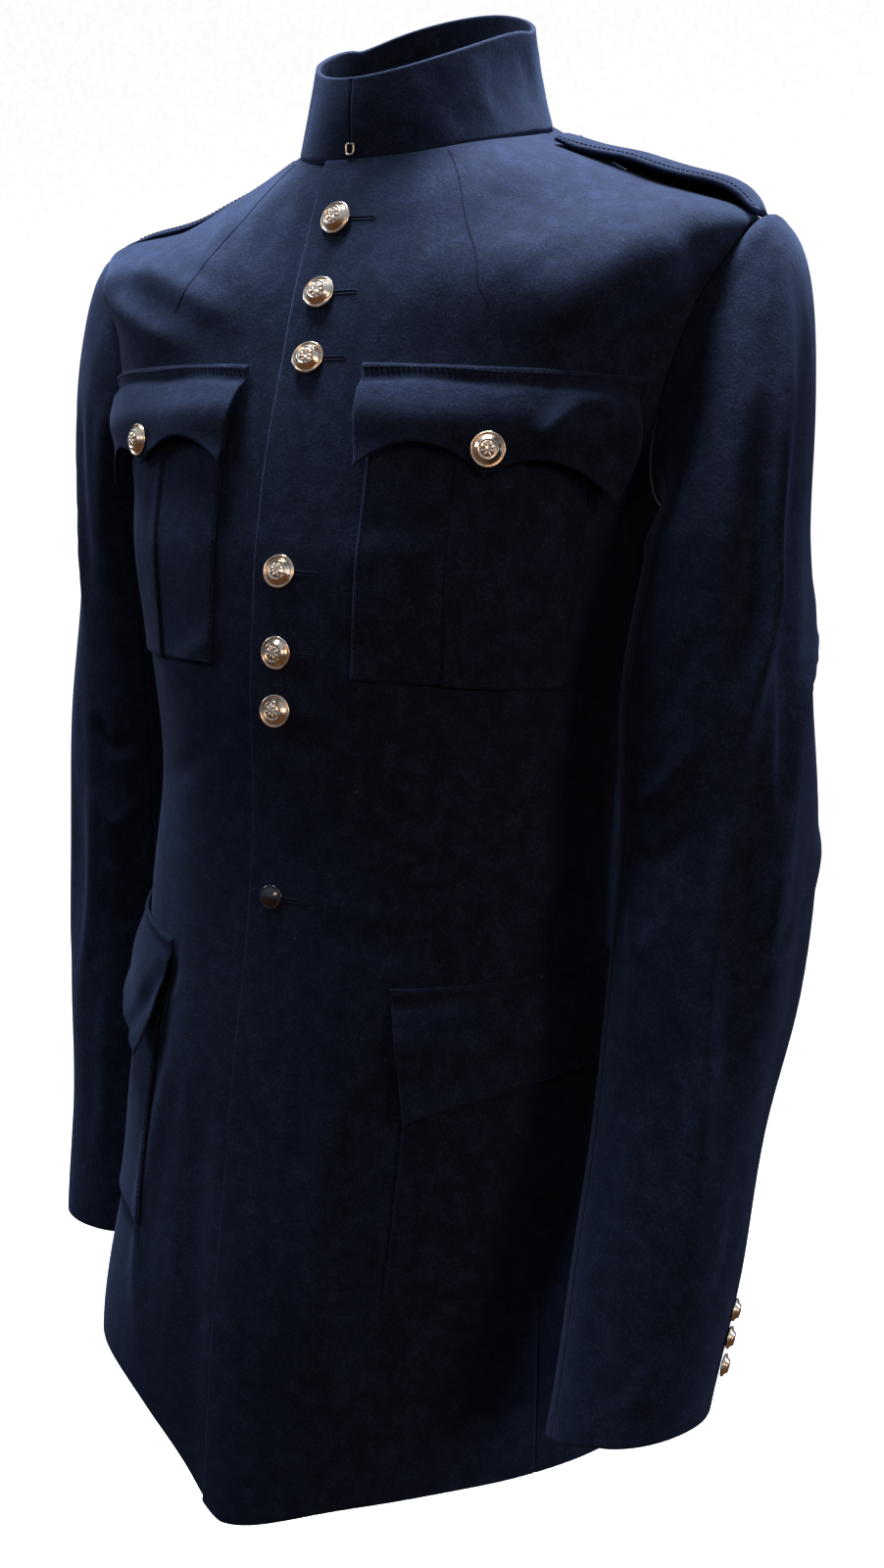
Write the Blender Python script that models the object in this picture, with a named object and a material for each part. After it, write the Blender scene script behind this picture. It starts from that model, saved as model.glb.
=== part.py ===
# Stand-collar dress tunic in navy wool, worn and filled out with nobody in it.
# Metres, +Z up. +X is the wearer's left and -Y is the front.
# The origin is at the base of the neck, midway between the neck points of the two shoulders.

import functools
import math

import bmesh
import bpy
from mathutils import Vector

CLOTH = 0.0020  # body and sleeve walls, wool with its canvas and lining
COLLAR_CLOTH = 0.0026
TRIM_CLOTH = 0.0015  # pockets and flaps
STRAP_CLOTH = 0.0028  # two layers and a stiffener
SEAM = 0.0003  # between pieces that are sewn edge to edge
LAY = 0.0005  # under a piece that lies on another
POCKET_LAY = 0.0008  # under a breast pocket
SKIRT_POCKET_LAY = 0.0012  # the skirt below is more curved
LAP = 0.018  # how far each front runs past the centre line
LAP_BLEND = 0.050  # over which the right front comes back to the level of the left one
LAP_EASE = 0.006  # how far outside the lap's edge it is fully under

# The body as rings from the hem up to the neck seam, which rise over the shoulders from row 7 on.
# The seam columns are angles round the body in degrees: 0 centre front, 90 side, 180 centre back.
BODY_COLUMNS = (
    "left_z", "right_z", "front_z", "back_z", "left", "right", "side_y", "front_y", "back_y",
    "square", "fall", "front_seam", "back_seam",
)
BODY_ROWS = (
    (-0.824, -0.797, -0.860, -0.812, 0.196, 0.176, 0.000, -0.170, 0.150, 1.62, 10.0, 60.0, 128.0),
    (-0.710, -0.696, -0.740, -0.706, 0.185, 0.164, 0.000, -0.164, 0.142, 1.76, 7.0, 61.0, 127.0),
    (-0.603, -0.598, -0.617, -0.602, 0.175, 0.160, 0.000, -0.153, 0.130, 2.00, 4.0, 62.0, 126.0),
    (-0.500, -0.500, -0.506, -0.500, 0.166, 0.155, 0.000, -0.142, 0.112, 2.18, 2.0, 64.0, 124.0),
    (-0.420, -0.420, -0.420, -0.420, 0.158, 0.147, 0.000, -0.138, 0.102, 2.20, 2.0, 66.0, 122.0),
    (-0.340, -0.340, -0.345, -0.340, 0.160, 0.159, 0.000, -0.143, 0.110, 2.20, 2.0, 69.0, 120.0),
    (-0.275, -0.275, -0.285, -0.275, 0.170, 0.172, 0.000, -0.144, 0.122, 2.20, 2.0, 73.0, 117.0),
    (-0.237, -0.237, -0.250, -0.225, 0.177, 0.178, 0.000, -0.140, 0.128, 2.20, 2.0, 76.0, 114.0),
    (-0.182, -0.182, -0.215, -0.165, 0.192, 0.192, 0.000, -0.134, 0.128, 2.20, 2.0, 78.0, 112.0),
    (-0.126, -0.126, -0.175, -0.108, 0.206, 0.206, 0.000, -0.125, 0.120, 2.20, 2.0, 79.0, 111.0),
    (-0.078, -0.084, -0.132, -0.060, 0.216, 0.216, 0.000, -0.115, 0.104, 2.20, 2.0, 80.0, 110.0),
    (-0.053, -0.063, -0.094, -0.024, 0.148, 0.148, 0.006, -0.101, 0.086, 2.10, 1.5, 80.0, 110.0),
    (-0.018, -0.018, -0.054, 0.008, 0.075, 0.075, 0.012, -0.087, 0.068, 2.00, 1.1, 80.0, 110.0),
)
BACK_SQUARE = 2.2
NECK_ROW = 12.0
SHOULDER_ROW = 10.0  # top of the armhole
ARMPIT_ROW = 7.0  # foot of the armhole

# Large soft waves that the worn cloth hangs in. On the body they are placed by angle and row, on
# a sleeve by the turn from its outer side and the share of its length.
WAVE_COLUMNS = ("angle", "spread", "low", "high", "rise")
BODY_WAVES = (
    (-46.0, 34.0, -2.2, 2.3, 0.0200),
    (40.0, 32.0, -2.5, 2.2, 0.0030),
    (84.0, 28.0, -2.5, 2.6, 0.0050),
    (150.0, 30.0, -2.5, 2.4, 0.0060),
    (-138.0, 28.0, -2.5, 2.6, 0.0060),
    (-104.0, 28.0, -2.5, 2.4, -0.0040),
    (118.0, 26.0, 2.6, 5.6, -0.0030),
    (-116.0, 26.0, 2.6, 5.4, -0.0030),
)

# The armhole in the same angles and rows; its samples run round from the top by way of the front.
ARMHOLE_FRONT = 21.5  # degrees from the side line
ARMHOLE_BACK = 30.0
ARMHOLE_SQUARE = 0.86
FRONT_JOIN = 145.0  # where the side seams meet the armhole, degrees down from its top
BACK_JOIN = 220.0
FRONT_STEPS = 8
UNDER_STEPS = 5
BACK_STEPS = 8
SEAM_STEPS = 15
NECK_STEPS = 8
SHOULDER_STEPS = 4
BACK_NECK_STEPS = 6
PATCH_FADE = 4
PROBE = 0.05  # step in rows for the slope of a table
ANGLE_PROBE = 0.8  # steps either side, in degrees and rows, for a surface's normal
ROW_PROBE = 0.02
SEARCH_ROUNDS = 8  # for a place on the body from its distance and height

# Each arm from just under the armhole to the cuff: centre, then the reach on its four sides.
ARM_COLUMNS = ("z", "x", "y", "outer", "inner", "fore", "aft", "tilt")
LEFT_ARM = (
    (-0.262, 0.2210, -0.030, 0.0420, 0.0430, 0.054, 0.062, 0.000),
    (-0.340, 0.2220, -0.034, 0.0515, 0.0510, 0.054, 0.060, 0.002),
    (-0.420, 0.2260, -0.037, 0.0585, 0.0490, 0.053, 0.056, 0.004),
    (-0.500, 0.2280, -0.048, 0.0560, 0.0460, 0.052, 0.053, 0.007),
    (-0.580, 0.2290, -0.064, 0.0510, 0.0450, 0.050, 0.050, 0.010),
    (-0.665, 0.2310, -0.086, 0.0475, 0.0440, 0.048, 0.048, 0.014),
    (-0.745, 0.2300, -0.104, 0.0450, 0.0450, 0.046, 0.046, 0.018),
)
RIGHT_ARM = (
    (-0.262, 0.2160, 0.010, 0.0360, 0.0330, 0.052, 0.056, 0.000),
    (-0.345, 0.2210, 0.020, 0.0440, 0.0460, 0.053, 0.055, 0.000),
    (-0.430, 0.2245, 0.026, 0.0500, 0.0505, 0.054, 0.055, 0.000),
    (-0.520, 0.2260, 0.029, 0.0500, 0.0490, 0.052, 0.052, 0.000),
    (-0.610, 0.2265, 0.028, 0.0480, 0.0460, 0.050, 0.050, 0.000),
    (-0.700, 0.2270, 0.025, 0.0460, 0.0440, 0.048, 0.048, 0.000),
    (-0.798, 0.2270, 0.020, 0.0445, 0.0430, 0.046, 0.046, 0.000),
)
ARM_SQUARE = 2.3
CAP_STEPS = 5
CAP_LEAVE = 0.62  # fullness of the sleeve head where it leaves the armhole
CAP_LEAVE_UNDER = 0.95  # the same under the arm
CAP_ARRIVE = 1.00
CAP_OUTWARD = 0.54  # how far the head leaves straight to the side, not square to the body
ARM_STEPS = 13
HIND_SEAM_CUFF = -14.0  # degrees behind the outer side, where the hind-arm seam ends
FORE_SEAM_CUFF = 138.0
SEAM_SWING = 0.62  # share of the arm over which the seams turn to their places at the cuff
HIND_SEAM_STEP = 3  # steps of the armhole's back that belong to the under sleeve
FORE_SEAM_STEP = 1
TURN_PROBE = 4.0  # steps either side, in degrees and shares, for a sleeve's normal
SHARE_PROBE = 0.01

SLEEVE_WAVES = (
    (28.0, 27.0, 0.05, 0.95, 0.0035),
    (-12.0, 24.0, 0.10, 0.80, 0.0030),
    (62.0, 26.0, 0.20, 0.70, -0.0025),
    (96.0, 32.0, 0.32, 0.62, 0.0030),
    (-62.0, 29.0, 0.15, 0.85, 0.0025),
)

# The stand collar as rings from the neck seam to its top edge.
COLLAR_COLUMNS = (
    "side_z", "front_z", "back_z", "half", "side_y", "front_y", "back_y", "square", "fall",
)
COLLAR_ROWS = (
    (-0.0174, -0.0534, 0.0086, 0.0746, 0.0120, -0.0866, 0.0676, 2.00, 1.10),
    (0.0020, -0.0390, 0.0290, 0.0675, 0.0110, -0.0890, 0.0640, 2.00, 1.10),
    (0.0205, -0.0250, 0.0485, 0.0625, 0.0105, -0.0900, 0.0600, 2.00, 1.15),
    (0.0385, -0.0115, 0.0670, 0.0595, 0.0100, -0.0895, 0.0560, 2.00, 1.20),
)
COLLAR_GAP = 0.0006  # half the slit at the centre front
COLLAR_STEPS = 32

# Pockets are set out by the distance round the body from the centre line, and by height.
BREAST_INNER = 0.037
BREAST_OUTER = 0.197
BREAST_INNER_SLANT = 0.006  # how far the flap's ends draw in over its depth
BREAST_OUTER_SLANT = 0.016
BREAST_TOP = -0.170
BREAST_FLAP_DEPTH = 0.058  # at the inner and middle points
BREAST_FLAP_DROOP = 0.008  # how much deeper the outer point hangs
BREAST_FLAP_ARC = 0.015  # how far the arcs between the points rise
POCKET_MARGIN = 0.010  # the pocket is narrower than its flap by this at each side
POCKET_TUCK = 0.020  # how far under the flap the pocket's mouth starts
BREAST_POCKET_FOOT = -0.340
PLEAT_HALF = 0.018
PLEAT_MIDDLE = 0.115
BREAST_STACK = 0.0044  # pocket, pleat and the gaps between them, which the flap lies over
ARC_POWER = 0.8  # below 1 the arcs are rounder than a sine
FLAP_ROLL = 0.25  # share of a flap's depth over which it rolls out from its seam
FLAP_STAND = 0.004  # how far a flap's foot stands off
BREAST_CURL = 0.010  # how much more its outer point lifts
BREAST_CURL_START = 0.62
SKIRT_INNER = 0.078
SKIRT_SLANT = 0.015  # how far the flap's front edge leans back over its depth
SKIRT_OUTER = 0.250
SKIRT_TOP = -0.513
SKIRT_RISE = 0.016  # the skirt flap's top edge climbs this much towards the side
SKIRT_FLAP_DEPTH = 0.078
SKIRT_FLAP_ARC = 0.017
SKIRT_PROUD = {"left": 0.001, "right": 0.008}  # how much more a flap's front corner stands off
SKIRT_POCKET_FOOT = -0.700
SKIRT_POCKET_MARGIN = 0.004
BREAST_FLAP_STEPS = 14  # across; the other trims follow, across and down
SKIRT_FLAP_STEPS = 12
FLAP_ROWS = 4
PLEAT_SIDE_STEPS = 3
BREAST_POCKET_ROWS = 7
SKIRT_POCKET_STEPS = 10
SKIRT_POCKET_ROWS = 9

# Buttons: 30 ligne gilt ones on the front and flaps, a small black one, and small gilt cuff ones.
BUTTON_RADIUS = 0.0095
BUTTON_DOME = 0.0055
SMALL_RADIUS = 0.0073
SMALL_DOME = 0.0036
CUFF_RADIUS = 0.0064
CUFF_DOME = 0.0042
FRONT_BUTTON_HEIGHTS = (-0.089, -0.131, -0.167, -0.284, -0.329, -0.362)
WAIST_BUTTON_HEIGHT = -0.471
# Radius as a share of the button's own and height as a share of its dome's.
BUTTON_PROFILE = (
    (0.00, 0.00), (0.80, 0.00), (1.00, 0.20), (0.97, 0.42), (0.80, 0.46), (0.45, 0.90), (0.00, 1.00),
)
BREAST_BUTTON_DROP = 0.044
CUFF_BUTTON_LIFTS = (0.030, 0.046, 0.062)
CUFF_BUTTON_TURN = 10.0  # degrees in front of the hind-arm seam
BUTTON_LAY = 0.0004
FLAP_BUTTON_LAY = 0.0015  # the flap under it is curved
CENTRE_REACH = 0.0005  # close enough to the centre line to find a row there
ROUND_STEPS = 12
WELD = 0.00005  # points this near are one

HOOK_WIRE = 0.0014
HOOK_HALF = 0.0024
HOOK_HEIGHT = 0.0050
HOOK_LIFT = 0.0016  # over the neck seam
HOOK_LEAN = 0.0009  # the collar's front leans out as it rises
HOOK_LAY = 0.0003
# Shares of its half width and its height.
HOOK_ROUTE = ((-1.0, 1.0), (-1.0, 0.3), (-0.6, 0.0), (0.6, 0.0), (1.0, 0.3), (1.0, 1.0))

STRAP_HALF_OUTER = 0.024
STRAP_HALF_INNER = 0.019
STRAP_OUTER_ROW = 10.04
STRAP_INNER_ROW = 11.80
STRAP_SEAT = 0.0005  # over the shoulder where the strap is sewn down
STRAP_LIFTS = {"left": 0.0130, "right": 0.0080}  # how high each strap arches over the shoulder
STRAP_ARCH = 0.6  # below 1 it rises at once from its ends
STRAP_DROOP = 0.0060  # how far its long edges hang below its middle
STRAP_STEPS = 9
STRAP_ACROSS = (-1.0, -0.5, 0.0, 0.5, 1.0)  # shares of its half width

SHARP_ANGLE = math.radians(50)
WOOL = (0.0080, 0.0110, 0.0230, 1.0)
GILT = (0.62, 0.42, 0.19, 1.0)
BLACK = (0.006, 0.006, 0.007, 1.0)
STEEL = (0.42, 0.40, 0.37, 1.0)


def smooth(values, place):
    # Passes through each value, with its slope carried on past the ends.
    last = len(values) - 1
    k = min(max(int(math.floor(place)), 0), last - 1)
    t = place - k
    b, c = values[k], values[k + 1]
    a = values[k - 1] if k else 2 * b - c
    d = values[k + 2] if k + 2 <= last else 2 * c - b
    return b + 0.5 * t * (c - a + t * (2 * a - 5 * b + 4 * c - d + t * (3 * (b - c) + d - a)))


def read_table(columns, rows, place):
    return {name: smooth([row[i] for row in rows], place) for i, name in enumerate(columns)}


@functools.lru_cache(maxsize=None)
def body_row(place):
    return read_table(BODY_COLUMNS, BODY_ROWS, place)


def bump(distance, spread):
    # A soft hill: 1 at its middle and 0 from spread on.
    share = abs(distance) / spread
    return (0.5 + 0.5 * math.cos(math.pi * share)) if share < 1 else 0.0


def wave_rise(waves, angle, place):
    total = 0.0
    for values in waves:
        wave = dict(zip(WAVE_COLUMNS, values))
        across = bump((angle - wave["angle"] + 180) % 360 - 180, wave["spread"])
        middle, half = (wave["low"] + wave["high"]) / 2, (wave["high"] - wave["low"]) / 2
        total += wave["rise"] * across * bump(place - middle, half)
    return total


def ring_point(row, angle, half, side_z):
    s, c = math.sin(math.radians(angle)), math.cos(math.radians(angle))
    power = 2 / (row["square"] if c > 0 else BACK_SQUARE)
    end_y = row["front_y"] if c > 0 else row["back_y"]
    end_z = row["front_z"] if c > 0 else row["back_z"]
    x = half * math.copysign(abs(s) ** power, s)
    y = row["side_y"] + (end_y - row["side_y"]) * abs(c) ** power
    z = side_z + (end_z - side_z) * abs(c) ** row["fall"]
    return Vector((x, y, z))


def body_point(angle, place):
    row = body_row(round(place, 6))
    angle = (angle + 180) % 360 - 180
    side = "left" if angle > 0 else "right"
    point = ring_point(row, angle, row[side], row[side + "_z"])
    outward = Vector((point.x, point.y, 0)).normalized()
    return point + outward * wave_rise(BODY_WAVES, angle, place)


def surface_normal(surface, angle, place):
    along_u = surface(angle + ANGLE_PROBE, place) - surface(angle - ANGLE_PROBE, place)
    along_v = surface(angle, place + ROW_PROBE) - surface(angle, place - ROW_PROBE)
    return along_u.cross(along_v).normalized()


def body_normal(angle, place):
    return surface_normal(body_point, angle, place)


def lap_angle(place, reach):
    row = body_row(round(place, 6))
    return math.degrees(math.asin((reach / row["left"]) ** (row["square"] / 2)))


def armhole(turn):
    # Angle and row of a place on the armhole, turn degrees from its top by way of the front.
    s, c = math.sin(math.radians(turn)), math.cos(math.radians(turn))
    reach = ARMHOLE_FRONT if s > 0 else ARMHOLE_BACK
    angle = 90 - reach * math.copysign(abs(s) ** ARMHOLE_SQUARE, s)
    middle = (SHOULDER_ROW + ARMPIT_ROW) / 2
    half = (SHOULDER_ROW - ARMPIT_ROW) / 2
    return angle, middle + half * math.copysign(abs(c) ** ARMHOLE_SQUARE, c)


def armhole_turns():
    front = [FRONT_JOIN * i / FRONT_STEPS for i in range(FRONT_STEPS + 1)]
    under = [FRONT_JOIN + (BACK_JOIN - FRONT_JOIN) * i / UNDER_STEPS for i in range(1, UNDER_STEPS + 1)]
    back = [BACK_JOIN + (360 - BACK_JOIN) * i / BACK_STEPS for i in range(1, BACK_STEPS)]
    return front + under + back


def patch(bottom, top, near, far):
    # Fills the plan between four lists of (angle, row): near and far run upwards.
    # The form of the top edge dies out soon below it, so that no column leaves the panel.
    rows, columns = len(near), len(bottom)
    plan = []
    for j in range(rows):
        w = (j / (rows - 1)) ** PATCH_FADE
        line = []
        for i in range(columns):
            u = i / (columns - 1)
            line.append(tuple(
                (1 - u) * near[j][k] + u * far[j][k] + (1 - w) * bottom[i][k] + w * top[i][k]
                - (1 - u) * (1 - w) * bottom[0][k] - u * (1 - w) * bottom[-1][k]
                - (1 - u) * w * top[0][k] - u * w * top[-1][k]
                for k in (0, 1)
            ))
        plan.append(line)
    return plan


def seam_line(column, join_turn):
    # The side seam from the hem to the armhole, as (angle, row).
    end_angle, end_row = armhole(join_turn)
    start = BODY_ROWS[0][BODY_COLUMNS.index(column)]
    line = []
    for i in range(SEAM_STEPS + 1):
        place = end_row * i / SEAM_STEPS
        table = body_row(round(place, 6))[column]
        top_table = body_row(round(end_row, 6))[column]
        line.append((table + (end_angle - top_table) * place / end_row, place))
    return line


def front_plan(reach):
    # From the lap edge, reach past the centre line, to the side seam and the armhole.
    rows = SEAM_STEPS + FRONT_STEPS
    seam = seam_line("front_seam", FRONT_JOIN)
    hole = [armhole(FRONT_JOIN * (1 - i / FRONT_STEPS)) for i in range(1, FRONT_STEPS + 1)]
    near = []
    for j in range(rows + 1):
        place = NECK_ROW * j / rows
        near.append((-lap_angle(place, reach), place))
    columns = NECK_STEPS + SHOULDER_STEPS
    hem_start, hem_end = near[0][0], seam[0][0]
    bottom = [(hem_start + (hem_end - hem_start) * i / columns, 0.0) for i in range(columns + 1)]
    neck_start = near[-1][0]
    top = [(neck_start + (90 - neck_start) * i / NECK_STEPS, NECK_ROW) for i in range(NECK_STEPS + 1)]
    fall = SHOULDER_ROW - NECK_ROW
    top += [(90.0, NECK_ROW + fall * i / SHOULDER_STEPS) for i in range(1, SHOULDER_STEPS + 1)]
    return patch(bottom, top, near, seam + hole)


def back_plan():
    # From the back of the side body and the armhole to the centre seam.
    seam = seam_line("back_seam", BACK_JOIN)
    turn = 360 - BACK_JOIN
    hole = [armhole(BACK_JOIN + turn * i / BACK_STEPS) for i in range(1, BACK_STEPS + 1)]
    rows = SEAM_STEPS + BACK_STEPS
    far = [(180.0, NECK_ROW * j / rows) for j in range(rows + 1)]
    columns = BACK_NECK_STEPS + SHOULDER_STEPS
    start = seam[0][0]
    bottom = [(start + (180 - start) * i / columns, 0.0) for i in range(columns + 1)]
    climb = NECK_ROW - SHOULDER_ROW
    top = [(90.0, SHOULDER_ROW + climb * i / SHOULDER_STEPS) for i in range(SHOULDER_STEPS + 1)]
    top += [(90 + 90 * i / BACK_NECK_STEPS, NECK_ROW) for i in range(1, BACK_NECK_STEPS + 1)]
    return patch(bottom, top, seam + hole, far)


def side_plan():
    front = seam_line("front_seam", FRONT_JOIN)
    back = seam_line("back_seam", BACK_JOIN)
    turn = BACK_JOIN - FRONT_JOIN
    top = [armhole(FRONT_JOIN + turn * i / UNDER_STEPS) for i in range(UNDER_STEPS + 1)]
    start, end = front[0][0], back[0][0]
    bottom = [(start + (end - start) * i / UNDER_STEPS, 0.0) for i in range(UNDER_STEPS + 1)]
    return patch(bottom, top, front, back)


def ease_borders(rows, gap):
    # Draws the border points in by gap, so that two sewn pieces stay clear of each other.
    last_row, last_column = len(rows) - 1, len(rows[0]) - 1
    eased = [list(row) for row in rows]
    for j, row in enumerate(rows):
        for i, point in enumerate(row):
            shift = Vector()
            for edge, inside in (((j == 0), (1, 0)), ((j == last_row), (-1, 0)),
                                 ((i == 0), (0, 1)), ((i == last_column), (0, -1))):
                if edge:
                    shift += (rows[j + inside[0]][i + inside[1]] - point).normalized() * gap
            eased[j][i] = point + shift
    return eased


def add_object(name, mesh, material):
    mesh.materials.append(material)
    mesh.shade_smooth()
    mesh.set_sharp_from_angle(angle=SHARP_ANGLE)
    obj = bpy.data.objects.new(name, mesh)
    bpy.context.scene.collection.objects.link(obj)
    return obj


def add_wall(name, outer, inner, material):
    # A closed cloth wall between two grids of points with the same rows and columns.
    bm = bmesh.new()
    skins = [[[bm.verts.new(p) for p in row] for row in grid] for grid in (outer, inner)]
    rows, columns = len(outer), len(outer[0])
    for skin in skins:
        for j in range(rows - 1):
            for i in range(columns - 1):
                bm.faces.new((skin[j][i], skin[j][i + 1], skin[j + 1][i + 1], skin[j + 1][i]))
    for j in range(rows - 1):
        for i in (0, columns - 1):
            bm.faces.new((skins[0][j][i], skins[0][j + 1][i], skins[1][j + 1][i], skins[1][j][i]))
    for i in range(columns - 1):
        for j in (0, rows - 1):
            bm.faces.new((skins[0][j][i], skins[0][j][i + 1], skins[1][j][i + 1], skins[1][j][i]))
    bmesh.ops.recalc_face_normals(bm, faces=bm.faces)
    bmesh.ops.triangulate(bm, faces=bm.faces)
    mesh = bpy.data.meshes.new(name)
    bm.to_mesh(mesh)
    bm.free()
    return add_object(name, mesh, material)


def make_material(name, colour, roughness, metallic=0.0):
    material = bpy.data.materials.new(name)
    material.use_nodes = True
    shader = material.node_tree.nodes["Principled BSDF"]
    shader.inputs["Base Color"].default_value = colour
    shader.inputs["Roughness"].default_value = roughness
    shader.inputs["Metallic"].default_value = metallic
    return material


def under_lap(x):
    # How deep the right front lies below the left one: all of it under the lap, then less.
    full = CLOTH + LAY
    share = min(max((x + LAP + LAP_BLEND) / (LAP_BLEND - LAP_EASE), 0), 1)
    return full * share * share * (3 - 2 * share)


def body_wall(plan, side, sunk=False):
    outer, inner = [], []
    for row in plan:
        outside, inside = [], []
        for angle, place in row:
            point = body_point(side * angle, place)
            normal = body_normal(side * angle, place)
            if sunk:
                point -= normal * under_lap(point.x)
            outside.append(point)
            inside.append(point - normal * CLOTH)
        outer.append(outside)
        inner.append(inside)
    return ease_borders(outer, SEAM / 2), ease_borders(inner, SEAM / 2)


def build_body(wool):
    plans = {"front": front_plan(LAP), "side": side_plan(), "back": back_plan()}
    for part, plan in plans.items():
        for name, side in (("left", 1), ("right", -1)):
            sunk = part == "front" and side < 0
            outer, inner = body_wall(plan, side, sunk)
            add_wall(f"{part}_{name}", outer, inner, wool)


def arm_row(table, place):
    return read_table(ARM_COLUMNS, table, place)


def arm_ring(table, side, share, turn):
    # A place on the sleeve: share 0 to 1 down the arm, turn 0 outer, 90 front, 180 inner, 270 back.
    row = arm_row(table, share * (len(table) - 1))
    s, c = math.sin(math.radians(turn)), math.cos(math.radians(turn))
    power = 2 / ARM_SQUARE
    across = (row["outer"] if c > 0 else row["inner"]) * math.copysign(abs(c) ** power, c)
    deep = (row["fore"] if s > 0 else row["aft"]) * math.copysign(abs(s) ** power, s)
    grown = 1 + wave_rise(SLEEVE_WAVES, turn, share) / math.hypot(across, deep)
    across, deep = across * grown, deep * grown
    steps = len(table) - 1
    above, below = arm_row(table, share * steps - PROBE), arm_row(table, share * steps + PROBE)
    lean = (above["y"] - below["y"]) / (above["z"] - below["z"])
    z = row["z"] + row["tilt"] * c + lean * deep
    return Vector((side * (row["x"] + across), row["y"] - deep, z))


def sleeve_grid(table, side, starts, ends):
    # Rows from the armhole down to the cuff, one column for each turn.
    rows = range(CAP_STEPS + ARM_STEPS + 1)
    return [[sleeve_point(table, side, a, b, row) for a, b in zip(starts, ends)] for row in rows]


def sleeve_point(table, side, start_turn, end_turn, row):
    if row >= CAP_STEPS:
        share = (row - CAP_STEPS) / ARM_STEPS
        blend = min(1.0, share / SEAM_SWING)
        blend = blend * blend * (3 - 2 * blend)
        return arm_ring(table, side, share, start_turn + (end_turn - start_turn) * blend)
    t = row / CAP_STEPS
    angle, place = armhole(start_turn)
    start = body_point(side * angle, place)
    start += into_hole(side, start_turn) * SEAM
    end = arm_ring(table, side, 0.0, start_turn)
    below = arm_ring(table, side, SHARE_PROBE, start_turn)
    reach = (end - start).length
    normal = body_normal(side * angle, place)
    under = (1 - math.cos(math.radians(start_turn))) / 2
    fullness = CAP_LEAVE + (CAP_LEAVE_UNDER - CAP_LEAVE) * under
    outward = Vector((side * CAP_OUTWARD, 0, 0)) + normal * (1 - CAP_OUTWARD)
    leave = outward.normalized() * reach * fullness
    arrive = (below - end).normalized() * reach * CAP_ARRIVE
    a, b = 2 * t ** 3 - 3 * t ** 2 + 1, t ** 3 - 2 * t ** 2 + t
    c, d = 3 * t ** 2 - 2 * t ** 3, t ** 3 - t ** 2
    return start * a + leave * b + end * c + arrive * d


def into_hole(side, turn):
    # Along the cloth from the armhole's edge towards its middle.
    angle, place = armhole(turn)
    before, after = armhole(turn - 1), armhole(turn + 1)
    edge = body_point(side * after[0], after[1]) - body_point(side * before[0], before[1])
    normal = body_normal(side * angle, place)
    inward = edge.cross(normal).normalized()
    middle = body_point(side * 90, (SHOULDER_ROW + ARMPIT_ROW) / 2)
    return inward if inward.dot(middle - body_point(side * angle, place)) > 0 else -inward


def sleeve_wall(table, side, starts, ends):
    grid = sleeve_grid(table, side, starts, ends)
    inner = []
    for j, line in enumerate(grid):
        inside = []
        for i, point in enumerate(line):
            up, down = grid[max(j - 1, 0)][i], grid[min(j + 1, len(grid) - 1)][i]
            left = sleeve_point(table, side, starts[i] - TURN_PROBE, ends[i] - TURN_PROBE, j)
            right = sleeve_point(table, side, starts[i] + TURN_PROBE, ends[i] + TURN_PROBE, j)
            normal = (right - left).cross(down - up).normalized() * side
            if j == 0:
                hole = into_hole(side, starts[i])
                normal = (normal - hole * max(0.0, normal.dot(hole))).normalized()
            inside.append(point - normal * CLOTH)
        inner.append(inside)
    return grid, inner


def spread_turns(start, end, steps):
    return [start + (end - start) * i / steps for i in range(steps + 1)]


def build_sleeves(wool):
    turns = armhole_turns()
    turns_round = turns + [360.0]
    fore = FRONT_STEPS - FORE_SEAM_STEP
    hind = FRONT_STEPS + UNDER_STEPS + HIND_SEAM_STEP
    top_starts = [t - 360 for t in turns_round[hind:-1]] + turns[: fore + 1]
    under_starts = turns[fore: hind + 1]
    top_ends = spread_turns(HIND_SEAM_CUFF, FORE_SEAM_CUFF, len(top_starts) - 1)
    under_ends = spread_turns(FORE_SEAM_CUFF, 360 + HIND_SEAM_CUFF, len(under_starts) - 1)
    for name, side, table in (("left", 1, LEFT_ARM), ("right", -1, RIGHT_ARM)):
        for part, starts, ends in (("top", top_starts, top_ends), ("under", under_starts, under_ends)):
            outer, inner = sleeve_wall(table, side, starts, ends)
            outer, inner = ease_borders(outer, SEAM / 2), ease_borders(inner, SEAM / 2)
            add_wall(f"sleeve_{part}_{name}", outer, inner, wool)


def collar_point(angle, place):
    row = read_table(COLLAR_COLUMNS, COLLAR_ROWS, place)
    return ring_point(row, angle, row["half"], row["side_z"])


def build_collar(wool):
    outer, inner = [], []
    for j in range(len(COLLAR_ROWS)):
        outside, inside = [], []
        for i in range(COLLAR_STEPS + 1):
            angle = 360 * i / COLLAR_STEPS
            point = collar_point(angle, j)
            normal = surface_normal(collar_point, angle, j)
            normal = Vector((normal.x, normal.y, 0)).normalized()
            inward = point - normal * COLLAR_CLOTH
            if i in (0, COLLAR_STEPS):
                point.x = inward.x = COLLAR_GAP if i == 0 else -COLLAR_GAP
            outside.append(point)
            inside.append(inward)
        outer.append(outside)
        inner.append(inside)
    add_wall("collar", outer, inner, wool)


@functools.lru_cache(maxsize=None)
def ring_lengths(side, place):
    # Distance round the body from the centre front at each degree.
    total, lengths = 0.0, [0.0]
    previous = body_point(0, place)
    for angle in range(1, 181):
        point = body_point(side * angle, place)
        total += (point - previous).length
        lengths.append(total)
        previous = point
    return lengths


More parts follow.
